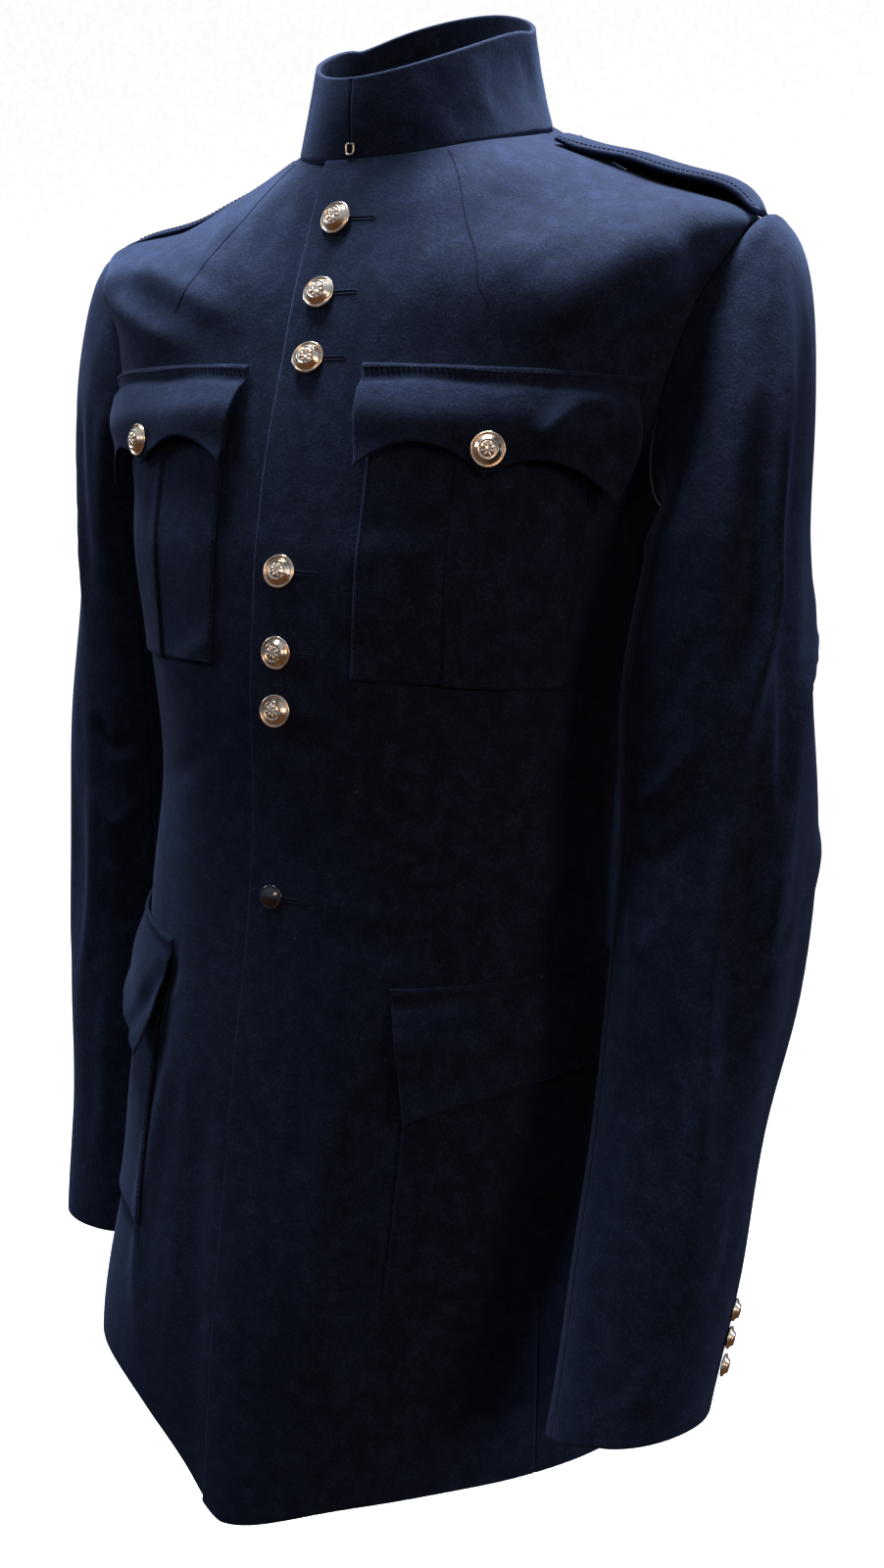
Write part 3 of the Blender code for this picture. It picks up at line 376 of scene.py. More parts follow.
# Routes on a sleeve are in turn (0 outer, 90 front, 180 inner, 270 back) and row (0 seam, 18 cuff).
leftCreases = (
    (((27, 1.4), (39, 3.0), (42, 4.2), (42, 5.4), (51, 6.8), (66, 8.2)), 0.012, 0.0072, 0.55),
    (((30, 1.0), (38, 2.8), (43, 4.4), (43, 5.6), (50, 6.8), (60, 8.0)), 0.0060, 0.0038, 0.6),
    (((34, 5.6), (38, 7.0), (42, 8.4), (40, 10.0), (33, 11.8)), 0.0062, 0.0036, 0.6),
    (((60, 7.6), (69, 9.8), (69, 11.4), (60, 13.6), (51, 15.6)), 0.014, 0.0064, 0.5),
    (((-21, 4.0), (-9, 6.0), (15, 7.2), (27, 8.2), (36, 9.8), (30, 12.6)), 0.012, 0.0066, 0.5),
    (((63, 2.0), (63, 3.6), (66, 5.4)), 0.014, 0.0020, 0.1),
    (((10, 2.0), (12, 4.0), (24, 6.0), (44, 8.6)), 0.014, -0.0056, 0.1),
    (((54, 2.6), (57, 5.2), (68, 7.2)), 0.013, -0.0046, 0.1),
    (((84, 6.0), (98, 7.0), (112, 7.8)), 0.011, -0.0024, 0.2),
    (((82, 7.4), (100, 8.4), (122, 8.6)), 0.010, 0.0040, 0.5),
    (((84, 9.0), (104, 9.6), (124, 9.4)), 0.010, -0.0028, 0.2),
    (((90, 10.4), (108, 10.9), (124, 10.2)), 0.010, 0.0026, 0.4),
    (((20, 10.2), (40, 10.9), (60, 11.0)), 0.012, -0.0020, 0.0),
    (((-30, 9.0), (-8, 9.6), (14, 10.6)), 0.013, 0.0022, 0.2),
    (((96, 13.2), (94, 14.6), (84, 16.0)), 0.012, 0.0018, 0.1),
    (((30, 13.4), (24, 15.0), (32, 16.6)), 0.013, -0.0016, 0.0),
    (((60, 16.4), (72, 17.2), (88, 17.5)), 0.010, 0.0014, 0.1),
    (((150, 8.0), (172, 8.8), (200, 8.6)), 0.011, -0.0026, 0.2),
    (((156, 9.2), (178, 9.9), (206, 9.6)), 0.011, 0.0024, 0.3),
    (((238, 7.0), (262, 8.4), (286, 9.8)), 0.013, 0.0024, 0.2),
    (((232, 9.0), (258, 10.2), (282, 11.8)), 0.013, -0.0024, 0.1),
    (((300, 2.0), (304, 4.0), (296, 6.4)), 0.013, 0.0024, 0.3),
    (((286, 1.6), (282, 3.6), (272, 5.8)), 0.013, -0.0026, 0.1),
    (((320, 2.6), (328, 5.0), (336, 8.0)), 0.013, -0.0022, 0.1),
    (((250, 12.2), (256, 14.0), (250, 16.2)), 0.014, 0.0018, 0.1),
    (((150, 2.0), (156, 3.6), (150, 5.4)), 0.012, 0.0020, 0.2),
    (((205, 2.2), (208, 4.0), (214, 6.0)), 0.012, -0.0022, 0.1),
)
rightCreases = (
    (((30, 1.2), (38, 3.0), (50, 5.0), (74, 7.2)), 0.011, 0.0028, 0.5),
    (((74, 7.2), (86, 9.2), (80, 12.0), (66, 14.6)), 0.012, 0.0022, 0.3),
    (((56, 2.4), (66, 4.4), (84, 6.6)), 0.012, -0.0026, 0.1),
    (((99, 0.9), (96, 3.2), (94, 6.0)), 0.012, 0.0022, 0.3),
    (((-18, 3.2), (-6, 5.6), (12, 8.2), (22, 11.0)), 0.012, 0.0024, 0.3),
    (((2, 2.4), (10, 5.0), (28, 8.0)), 0.013, -0.0024, 0.1),
    (((82, 8.4), (100, 9.0), (120, 8.8)), 0.010, -0.0024, 0.2),
    (((84, 9.8), (102, 10.4), (124, 10.0)), 0.010, 0.0024, 0.4),
    (((90, 11.4), (106, 12.2), (120, 12.0)), 0.011, -0.0020, 0.1),
    (((93, 13.4), (96, 15.4), (92, 17.2)), 0.012, 0.0018, 0.1),
    (((34, 12.6), (28, 14.6), (34, 16.6)), 0.013, -0.0016, 0.0),
    (((152, 8.4), (176, 9.2), (202, 8.8)), 0.011, 0.0024, 0.3),
    (((156, 10.0), (180, 10.6), (208, 10.2)), 0.011, -0.0022, 0.1),
    (((236, 6.8), (260, 8.0), (284, 9.6)), 0.013, -0.0024, 0.1),
    (((230, 8.6), (256, 9.8), (282, 11.2)), 0.013, 0.0024, 0.2),
    (((302, 1.8), (306, 4.2), (298, 6.8)), 0.013, 0.0024, 0.3),
    (((286, 1.8), (280, 3.8), (272, 6.2)), 0.013, -0.0026, 0.1),
    (((322, 3.0), (332, 5.6), (340, 8.4)), 0.013, -0.0020, 0.1),
    (((246, 12.6), (252, 14.6), (246, 16.6)), 0.014, 0.0018, 0.1),
    (((150, 2.4), (158, 4.0), (152, 6.0)), 0.012, 0.0020, 0.2),
)
crease = {
    "samples": 26,
    "taper": 0.30,  # share of the length over which each end dies out
    "undulation": 0.00045,
    # wave lengths in metres and their directions, for the slight unevenness of worn cloth
    "ripples": ((0.083, (1.0, 0.3, 0.5)), (0.127, (-0.4, 0.7, 0.8)), (0.061, (0.6, -0.8, 0.25))),
}


def alongRoute(controls, count):
    controls = np.array(controls, float)
    places = np.linspace(0, len(controls) - 1, count)
    return np.stack([smooth(controls[:, k], places) for k in (0, 1)], axis=-1)


def segmentNearest(points, line):
    # distance from each point to a line of points, and the share along it of the nearest place
    best = np.full(len(points), np.inf)
    share = np.zeros(len(points))
    for k in range(len(line) - 1):
        step = line[k + 1] - line[k]
        t = np.clip((points - line[k]) @ step / max(step @ step, 1e-12), 0, 1)
        distance = np.linalg.norm(points - line[k] - t[:, None] * step, axis=1)
        nearer = distance < best
        best[nearer] = distance[nearer]
        share[nearer] = (k + t[nearer]) / (len(line) - 1)
    return best, share


def creaseRise(points, creases, surface):
    # how far each point of the cloth moves along its normal
    shape = points.shape[:-1]
    flat = points.reshape(-1, 3)
    rise = np.zeros(len(flat))
    for route, width, height, crisp in creases:
        places = alongRoute(route, crease["samples"])
        line = surface(places[:, 0], places[:, 1])
        near = ((flat > line.min(0) - width) & (flat < line.max(0) + width)).all(axis=1)
        if not near.any():
            continue
        distance, share = segmentNearest(flat[near], line)
        soft = bump(distance, width)
        crest = np.clip(1 - distance / width, 0, 1) ** 2
        ends = easeIn(share / crease["taper"]) * easeIn((1 - share) / crease["taper"])
        rise[near] += height * ends * ((1 - crisp) * soft + crisp * crest)
    for length, direction in crease["ripples"]:
        way = np.array(direction) / np.linalg.norm(direction)
        rise += crease["undulation"] * np.sin(2 * math.pi * (flat @ way) / length)
    return rise.reshape(shape)


# Materials
def linearColour(code):
    # sRGB hex to Blender's linear values
    parts = [int(code[i:i + 2], 16) / 255 for i in (1, 3, 5)]
    return [p / 12.92 if p <= 0.04045 else ((p + 0.055) / 1.055) ** 2.4 for p in parts] + [1.0]


def addNode(tree, kind, properties=None, values=None, links=None):
    made = tree.nodes.new(kind)
    for key, value in (properties or {}).items():
        setattr(made, key, value)
    for key, value in (values or {}).items():
        made.inputs[key].default_value = value
    for key, source in (links or {}).items():
        tree.links.new(source, made.inputs[key])
    return made


def startMaterial(name):
    material = bpy.data.materials.new(name)
    material.use_nodes = True
    tree = material.node_tree
    place = addNode(tree, "ShaderNodeTexCoord").outputs["Object"]
    return material, tree, tree.nodes["Principled BSDF"], place


def setRamp(ramp, stops):
    stops = list(stops)
    while len(ramp.color_ramp.elements) < len(stops):
        ramp.color_ramp.elements.new(0.5)
    for element, (place, colour) in zip(ramp.color_ramp.elements, stops):
        element.position = place
        element.color = linearColour(colour)
    return ramp.outputs["Color"]


def setSockets(shader, values):
    for socket, value in values.items():
        shader.inputs[socket].default_value = value


woolLook = {
    "deep": "#151c2c", "mid": "#1e283e", "high": "#2c3956",
    "tones": (0.36, 0.52, 0.68),
    "napShare": 0.55,  # of the nap in the tone; the rest is the mottle
    "mottle": 0.011,  # cloudy tone of the milled face, in metres
    "nap": 0.0015,  # the raised fibres, drawn a little coarse so that they show
    "napDepth": 0.00034,
    "handle": 0.007,  # slight unevenness under the hand
    "handleDepth": 0.00035,
    "lint": "#5f687c", "lintSpacing": 0.030, "lintSize": 0.014,
    "roughness": 0.96, "specular": 0.06,
    "sheen": 0.16, "sheenRoughness": 0.50, "sheenTint": "#9bb9f6",
}


def makeWool(name, look):
    # Milled navy wool: a matt, slightly cloudy face whose short nap lights up bluish at grazing angles.
    material, tree, shader, place = startMaterial(name)
    mottle = addNode(tree, "ShaderNodeTexNoise", values={
        "Scale": 1 / look["mottle"], "Detail": 5.0, "Roughness": 0.62}, links={"Vector": place})
    nap = addNode(tree, "ShaderNodeTexNoise", values={
        "Scale": 1 / look["nap"], "Detail": 3.0, "Roughness": 0.7}, links={"Vector": place})
    blend = addNode(tree, "ShaderNodeMix", {"data_type": "FLOAT"}, {"Factor": look["napShare"]},
                    {"A": mottle.outputs["Fac"], "B": nap.outputs["Fac"]})
    tone = addNode(tree, "ShaderNodeValToRGB", links={"Fac": blend.outputs["Result"]})
    colour = setRamp(tone, zip(look["tones"], (look["deep"], look["mid"], look["high"])))
    specks = addNode(tree, "ShaderNodeTexVoronoi", {"feature": "F1"}, {"Scale": 1 / look["lintSpacing"]},
                     {"Vector": place})
    lint = addNode(tree, "ShaderNodeMath", {"operation": "LESS_THAN"}, {1: look["lintSize"]},
                   {0: specks.outputs["Distance"]})
    face = addNode(tree, "ShaderNodeMix", {"data_type": "RGBA"}, {"B": linearColour(look["lint"])},
                   {"Factor": lint.outputs["Value"], "A": colour})
    tree.links.new(face.outputs["Result"], shader.inputs["Base Color"])
    handle = addNode(tree, "ShaderNodeTexNoise", values={"Scale": 1 / look["handle"], "Detail": 2.0},
                     links={"Vector": place})
    soft = addNode(tree, "ShaderNodeBump", values={"Strength": 0.6, "Distance": look["handleDepth"]},
                   links={"Height": handle.outputs["Fac"]})
    fine = addNode(tree, "ShaderNodeBump", values={"Strength": 0.8, "Distance": look["napDepth"]},
                   links={"Height": nap.outputs["Fac"], "Normal": soft.outputs["Normal"]})
    tree.links.new(fine.outputs["Normal"], shader.inputs["Normal"])
    setSockets(shader, {"Roughness": look["roughness"], "Specular IOR Level": look["specular"],
                        "Sheen Weight": look["sheen"], "Sheen Roughness": look["sheenRoughness"],
                        "Sheen Tint": linearColour(look["sheenTint"])})
    return material


liningLook = {
    "base": "#26304a", "light": "#3b4866", "ribs": 0.0011, "ribDepth": 0.00012,
    "roughness": 0.55, "sheen": 0.25,
    "band": 0.16,  # the spacing of the wave texture's bands at scale 1
}


def makeLining(name, look):
    # Twilled satin lining: smooth and a little glossy, with fine slanting ribs.
    material, tree, shader, place = startMaterial(name)
    waves = addNode(tree, "ShaderNodeTexWave", {"bands_direction": "DIAGONAL"},
                    {"Scale": look["band"] / look["ribs"], "Distortion": 0.6, "Detail": 1.0},
                    {"Vector": place})
    tone = addNode(tree, "ShaderNodeValToRGB", links={"Fac": waves.outputs["Fac"]})
    tree.links.new(setRamp(tone, ((0.0, look["base"]), (1.0, look["light"]))), shader.inputs["Base Color"])
    ribs = addNode(tree, "ShaderNodeBump", values={"Strength": 0.5, "Distance": look["ribDepth"]},
                   links={"Height": waves.outputs["Fac"]})
    tree.links.new(ribs.outputs["Normal"], shader.inputs["Normal"])
    setSockets(shader, {"Roughness": look["roughness"], "Sheen Weight": look["sheen"]})
    return material


# the dark copper brown tone is painted shade, laid into the button's hollows
giltLook = {
    "bright": "#f3ead6", "warm": "#dcbb90", "hollowShade": "#94704c", "tones": (0.30, 0.62),
    "roughness": 0.18, "smoother": 0.06, "rougher": 0.10, "patina": 0.005, "hollow": 0.0015,
}


def makeGilt(name, look):
    # Fire-gilt brass: warm reflections, painted shade that turns the colour dark copper brown in its hollows,
    # and a soft polish.
    material, tree, shader, place = startMaterial(name)
    patina = addNode(tree, "ShaderNodeTexNoise", values={"Scale": 1 / look["patina"], "Detail": 4.0},
                     links={"Vector": place})
    tone = addNode(tree, "ShaderNodeValToRGB", links={"Fac": patina.outputs["Fac"]})
    colour = setRamp(tone, zip(look["tones"], (look["warm"], look["bright"])))
    # painted shade: where ambient occlusion finds a hollow, the base colour is mixed towards the dark copper
    # brown tone
    hollow = addNode(tree, "ShaderNodeAmbientOcclusion", values={"Distance": look["hollow"]})
    shadedHollows = addNode(tree, "ShaderNodeMix", {"data_type": "RGBA"}, {"A": linearColour(look["hollowShade"])},
                   {"Factor": hollow.outputs["AO"], "B": colour})
    tree.links.new(shadedHollows.outputs["Result"], shader.inputs["Base Color"])
    rough = addNode(tree, "ShaderNodeMapRange", values={
        "To Min": look["roughness"] - look["smoother"],
        "To Max": look["roughness"] + look["rougher"]}, links={"Value": patina.outputs["Fac"]})
    tree.links.new(rough.outputs["Result"], shader.inputs["Roughness"])
    setSockets(shader, {"Metallic": 1.0})
    return material


def makePlain(name, colour, roughness, metallic=0.0, grain=0.002, depth=0.00003, coat=0.0, specular=0.5,
              shade=0.7):
    # a hard or threaded finish with a faint grain of its own
    material, tree, shader, place = startMaterial(name)
    noise = addNode(tree, "ShaderNodeTexNoise", values={"Scale": 1 / grain, "Detail": 3.0},
                    links={"Vector": place})
    tone = addNode(tree, "ShaderNodeMix", {"data_type": "RGBA", "blend_type": "MULTIPLY"},
                   {"A": linearColour(colour), "B": (shade, shade, shade, 1.0)},
                   {"Factor": noise.outputs["Fac"]})
    tree.links.new(tone.outputs["Result"], shader.inputs["Base Color"])
    bumps = addNode(tree, "ShaderNodeBump", values={"Strength": 0.6, "Distance": depth},
                    links={"Height": noise.outputs["Fac"]})
    tree.links.new(bumps.outputs["Normal"], shader.inputs["Normal"])
    setSockets(shader, {"Roughness": roughness, "Metallic": metallic, "Coat Weight": coat,
                        "Specular IOR Level": specular})
    return material


wool = makeWool("milledNavyWool", woolLook)
lining = makeLining("twillLining", liningLook)
gilt = makeGilt("fireGiltBrass", giltLook)
resin = makePlain("blackPolishedHorn", "#0a0a0b", 0.10, coat=1.0)
steel = makePlain("nickelPlatedWire", "#d8cbb0", 0.28, metallic=1.0)
thread = makePlain("navyTwistThread", "#222b42", 0.85, grain=0.0006, depth=0.00008, specular=0.15)
# a dark colour as painted shade, for the shadow that lies along a pressed seam
seamShade = makePlain("seamShadeLine", "#151b2a", 0.95, grain=0.0006, depth=0.00008, specular=0.05)
print("materials done")


# Walls of cloth
def addObject(name, data):
    obj = bpy.data.objects.new(name, data)
    bpy.context.scene.collection.objects.link(obj)
    return obj


def edgeDistances(points):
    across = np.cumsum(np.linalg.norm(np.diff(points, axis=1), axis=2), axis=1)
    along = np.cumsum(np.linalg.norm(np.diff(points, axis=0), axis=2), axis=0)
    left, bottom = np.pad(across, ((0, 0), (1, 0))), np.pad(along, ((1, 0), (0, 0)))
    return {"left": left, "right": left[:, -1:] - left, "bottom": bottom, "top": bottom[-1:] - bottom}


def drawIn(points, gap):
    # takes the borders in by the gap, so that two sewn pieces don't touch
    drawn = points.copy()
    drawn[0] += unit(points[1] - points[0]) * gap
    drawn[-1] += unit(points[-2] - points[-1]) * gap
    drawn[:, 0] += unit(points[:, 1] - points[:, 0]) * gap
    drawn[:, -1] += unit(points[:, -2] - points[:, -1]) * gap
    return drawn


def roundOff(distance, width):
    t = np.clip(1 - distance / width, 0, 1)
    return 1 - np.sqrt(1 - t * t)


def addWall(name, base, normals, wall, edges, inside=None):
    # a closed wall of cloth under a grid of points, its sewn edges rolled down and its free ones rounded
    distances = edgeDistances(base)
    dip, pinch = np.zeros(base.shape[:2]), np.zeros(base.shape[:2])
    for edge, kind in edges.items():
        if kind == "sewn":
            dip = np.maximum(dip, cloth["seamDip"] * roundOff(distances[edge], cloth["seamRoll"]))
        else:
            pinch = np.maximum(pinch, roundOff(distances[edge], cloth["edgeRoll"]) * cloth["edgePinch"])
    base = drawIn(base, cloth["gap"])
    outer = base - normals * (dip + wall * pinch)[..., None]
    inner = base - (normals if inside is None else inside) * (wall * (1 - pinch))[..., None]
    rows, columns = base.shape[:2]
    count = rows * columns
    index = np.arange(count).reshape(rows, columns)
    skin = np.stack([index[:-1, :-1], index[:-1, 1:], index[1:, 1:], index[1:, :-1]], axis=-1)
    skin = skin.reshape(-1, 4)
    loop = np.concatenate([index[0, :-1], index[:-1, -1], index[-1, :0:-1], index[:0:-1, 0]])
    after = np.roll(loop, -1)
    rim = np.stack([after, loop, loop + count, after + count], axis=-1)
    faces = np.concatenate([skin, skin[:, ::-1] + count, rim])
    i, j = rows // 2, columns // 2
    facing = np.cross(base[i, j + 1] - base[i, j], base[i + 1, j] - base[i, j])
    if facing @ normals[i, j] < 0:
        faces = faces[:, ::-1]
    mesh = bpy.data.meshes.new(name)
    corners = np.concatenate([outer.reshape(-1, 3), inner.reshape(-1, 3)])
    mesh.from_pydata(corners.tolist(), [], faces.tolist())
    mesh.materials.append(wool)
    mesh.materials.append(lining)
    slots = np.zeros(len(faces), int)  # the wool outside and round the borders, the lining within them
    border = np.minimum.reduce(list(distances.values()))[:-1, :-1].ravel()
    slots[len(skin):2 * len(skin)] = border > cloth["facing"]
    mesh.polygons.foreach_set("material_index", slots)
    mesh.shade_smooth()
    flat = np.stack([distances["left"], distances["bottom"]], axis=-1).reshape(-1, 2)
    uv = mesh.uv_layers.new(name="cloth")
    corners = np.empty(len(mesh.loops), int)
    mesh.loops.foreach_get("vertex_index", corners)
    uv.data.foreach_set("uv", flat[corners % count].ravel())
    return addObject(name, mesh), outer


def hang(obj, slot, *nodes):
    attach(obj, "root")
    if nodes:
        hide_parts(*nodes)
    return obj


# Sewing thread
threadLook = {"length": 0.0024, "pitch": 0.0031, "half": 0.00032, "height": 0.00034, "sunk": 0.00006}
stitchShape = [(a, b * s, c * s) for a, s in ((-0.5, 0.35), (-0.3, 1.0), (0.3, 1.0), (0.5, 0.35))
               for b, c in ((1, 0), (0, 1), (-1, 0), (0, -1))]
stitchFaces = [(r * 4 + k, r * 4 + (k + 1) % 4, r * 4 + 4 + (k + 1) % 4, r * 4 + 4 + k)
               for r in range(3) for k in range(4)] + [(3, 2, 1, 0), (12, 13, 14, 15)]


def stitchesAlong(line, normals, look=threadLook):
    # small raised stitches, end to end along a line on the cloth
    steps = np.linalg.norm(np.diff(line, axis=0), axis=1)
    lengths = np.concatenate([[0.0], np.cumsum(steps)])
    places = np.arange(look["pitch"], lengths[-1] - look["pitch"] / 2, look["pitch"])

    def read(values, at):
        return np.stack([np.interp(at, lengths, values[:, k]) for k in range(3)], axis=-1)

    middle, up = read(line, places), unit(read(normals, places))
    way = unit(read(line, places + look["length"] / 2) - read(line, places - look["length"] / 2))
    across = unit(np.cross(up, way))
    middle = middle + up * (look["height"] - look["sunk"])
    shape = np.array(stitchShape)
    points = (middle[:, None] + way[:, None] * shape[None, :, :1] * look["length"]
              + across[:, None] * shape[None, :, 1:2] * look["half"]
              + up[:, None] * shape[None, :, 2:] * look["height"])
    return points.reshape(-1, 3), len(places)


def addThread(name, lines, look=threadLook):
    points, faces, total = [], [], 0
    for line, normals in lines:
        made, count = stitchesAlong(line, normals, look)
        points.append(made)
        for k in range(count):
            start = (total + k) * len(stitchShape)
            faces += [tuple(start + v for v in face) for face in stitchFaces]
        total += count
    mesh = bpy.data.meshes.new(name)
    mesh.from_pydata(np.concatenate(points).tolist(), [], faces)
    mesh.materials.append(thread)
    mesh.shade_smooth()
    return hang(addObject(name, mesh), "wool")


# The fronts, side bodies and backs
def dressPoints(angle, place, sunk=False, out=0.0):
    base = bodyPoint(angle, place)
    normals = normalOf(bodyPoint, angle, place)
    rise = creaseRise(base, bodyCreases, bodyPoint) + out
    if sunk:
        rise = rise - underLap(base[..., 0])
    return base + normals * rise[..., None], normals


for part, borders in (("front", frontBorders()), ("side", sideBorders()), ("back", backBorders())):
    for name, side in sides:
        plan = fillPlan(borders)
        points, normals = dressPoints(side * plan[..., 0], plan[..., 1], part == "front" and side < 0)
        obj, _ = addWall(f"{part}{name.title()}Cloth", points, normals, cloth["bodyWall"], borders["edges"])
        hang(obj, "wool", f"{part}_{name}")
print("body panels done")

# The sleeves, each in a top and an under half
sleeve = {
    "columns": ("z", "x", "y", "outer", "inner", "fore", "aft", "tilt"),
    "left": (
        (-0.262, 0.2210, -0.030, 0.0420, 0.0430, 0.054, 0.062, 0.000),
        (-0.340, 0.2220, -0.034, 0.0515, 0.0510, 0.054, 0.060, 0.002),
        (-0.420, 0.2260, -0.037, 0.0585, 0.0490, 0.053, 0.056, 0.004),
        (-0.500, 0.2280, -0.048, 0.0560, 0.0460, 0.052, 0.053, 0.007),
        (-0.580, 0.2290, -0.064, 0.0510, 0.0450, 0.050, 0.050, 0.010),
        (-0.665, 0.2310, -0.086, 0.0475, 0.0440, 0.048, 0.048, 0.014),
        (-0.745, 0.2300, -0.104, 0.0450, 0.0450, 0.046, 0.046, 0.018),
    ),
    "right": (
        (-0.262, 0.2160, 0.010, 0.0360, 0.0330, 0.052, 0.056, 0.000),
        (-0.345, 0.2210, 0.020, 0.0440, 0.0460, 0.053, 0.055, 0.000),
        (-0.430, 0.2245, 0.026, 0.0500, 0.0505, 0.054, 0.055, 0.000),
        (-0.520, 0.2260, 0.029, 0.0500, 0.0490, 0.052, 0.052, 0.000),
        (-0.610, 0.2265, 0.028, 0.0480, 0.0460, 0.050, 0.050, 0.000),
        (-0.700, 0.2270, 0.025, 0.0460, 0.0440, 0.048, 0.048, 0.000),
        (-0.798, 0.2270, 0.020, 0.0445, 0.0430, 0.046, 0.046, 0.000),
    ),
    "waves": (
        (28.0, 27.0, 0.05, 0.95, 0.0035),
        (-12.0, 24.0, 0.10, 0.80, 0.0030),
        (62.0, 26.0, 0.20, 0.70, -0.0025),
        (96.0, 32.0, 0.32, 0.62, 0.0030),
        (-62.0, 29.0, 0.15, 0.85, 0.0025),
    ),
    "square": 2.3,
    "capRows": 5,
    "armRows": 13,
    "leave": 0.62,  # fullness of the head where it leaves the armhole, over and under the arm
    "leaveUnder": 0.95,
    "arrive": 1.00,
    "outward": 0.54,
    "seamGap": 0.0003,
    "swing": 0.62,
    "hindCuff": -14.0,
    "foreCuff": 138.0,
    "topStarts": (-87.5, -70, -52.5, -35, -17.5, 0, 18.125, 36.25, 54.375, 72.5, 90.625, 108.75, 126.875),
    "underStarts": (126.875, 145, 160, 175, 190, 205, 220, 237.5, 255, 272.5),
    "rowProbe": 0.05,
    "shareProbe": 0.01,
    "turnProbe": 2.0,
    "ridge": 0.0016,  # the head's seam allowances stand up a little beside the armhole
    "ridgeRow": 0.35,
    "ridgeSpread": 110,  # degrees to each side of its top
    "size": (0.19, 0.68),
    "settle": 1.2,  # rows over which the creases begin below the armhole
    "tuck": 0.4,  # rows over which the inside leans out of the armhole
}


def armRing(name, side, share, turn):
    table = {"columns": sleeve["columns"], "rows": sleeve[name]}
    steps = len(sleeve[name]) - 1
    row = readTable(table, share * steps)
    s, c = np.sin(np.radians(turn)), np.cos(np.radians(turn))
    power = 2 / sleeve["square"]
    across = np.where(c > 0, row["outer"], row["inner"]) * signedPower(c, power)
    deep = np.where(s > 0, row["fore"], row["aft"]) * signedPower(s, power)
    grown = 1 + waveRise(sleeve["waves"], turn, share) / np.hypot(across, deep)
    across, deep = across * grown, deep * grown
    above = readTable(table, share * steps - sleeve["rowProbe"])
    below = readTable(table, share * steps + sleeve["rowProbe"])
    lean = (above["y"] - below["y"]) / (above["z"] - below["z"])
    z = row["z"] + row["tilt"] * c + lean * deep
    return np.stack(np.broadcast_arrays(side * (row["x"] + across), row["y"] - deep, z), axis=-1)


def intoHole(side, turn):
    at, before, after = armhole(turn), armhole(turn - 1), armhole(turn + 1)
    edge = bodyPoint(side * after[..., 0], after[..., 1]) - bodyPoint(side * before[..., 0], before[..., 1])
    normal = normalOf(bodyPoint, side * at[..., 0], at[..., 1])
    inward = unit(np.cross(edge, normal))
    middle = bodyPoint(np.array(side * 90.0), np.array((body["shoulderRow"] + body["armpitRow"]) / 2))
    here = bodyPoint(side * at[..., 0], at[..., 1])
    return inward * np.sign(np.sum(inward * (middle - here), axis=-1, keepdims=True))


def armPoint(name, side, turn, row):
    # the whole sleeve as one surface: the head up to row 5, then the arm down to the cuff at row 18
    turn, row = np.broadcast_arrays(np.asarray(turn, float), np.asarray(row, float))
    share = np.clip((row - sleeve["capRows"]) / sleeve["armRows"], 0, 1.02)
    arm = armRing(name, side, share, turn)
    t = np.clip(row / sleeve["capRows"], 0, 1)[..., None]
    at = armhole(turn)
    normal = normalOf(bodyPoint, side * at[..., 0], at[..., 1])
    start = bodyPoint(side * at[..., 0], at[..., 1]) + intoHole(side, turn) * sleeve["seamGap"]
    end = armRing(name, side, np.zeros(turn.shape), turn)
    below = armRing(name, side, np.full(turn.shape, sleeve["shareProbe"]), turn)
    reach = np.linalg.norm(end - start, axis=-1, keepdims=True)
    under = ((1 - np.cos(np.radians(turn))) / 2)[..., None]
    fullness = sleeve["leave"] + (sleeve["leaveUnder"] - sleeve["leave"]) * under
    outward = np.array((side * sleeve["outward"], 0, 0)) + normal * (1 - sleeve["outward"])
    leave = unit(outward) * reach * fullness
    arrive = unit(below - end) * reach * sleeve["arrive"]
    head = (start * (2 * t ** 3 - 3 * t ** 2 + 1) + leave * (t ** 3 - 2 * t ** 2 + t)
            + end * (3 * t ** 2 - 2 * t ** 3) + arrive * (t ** 3 - t ** 2))
    return np.where((row >= sleeve["capRows"])[..., None], arm, head)


def sleeveNormal(name, side, turn, row):
    dt, dr = sleeve["turnProbe"], sleeve["rowProbe"]
    last = sleeve["capRows"] + sleeve["armRows"]
    around = armPoint(name, side, turn + dt, row) - armPoint(name, side, turn - dt, row)
    down = (armPoint(name, side, turn, np.minimum(row + dr, last))
            - armPoint(name, side, turn, np.maximum(row - dr, 0)))
    return unit(np.cross(around, down)) * side


def sleevePlan(starts, ends):
    lines = sleeve["capRows"] + sleeve["armRows"]
    across, along = sleeve["size"]
    u, row = np.meshgrid(spaced(across), lines * spaced(along, (sleeve["capRows"] / lines,)))
    start = np.interp(u, np.linspace(0, 1, len(starts)), starts)
    end = ends[0] + (ends[1] - ends[0]) * u
    share = np.clip((row - sleeve["capRows"]) / sleeve["armRows"], 0, 1)
    return start + (end - start) * easeIn(share / sleeve["swing"]), row


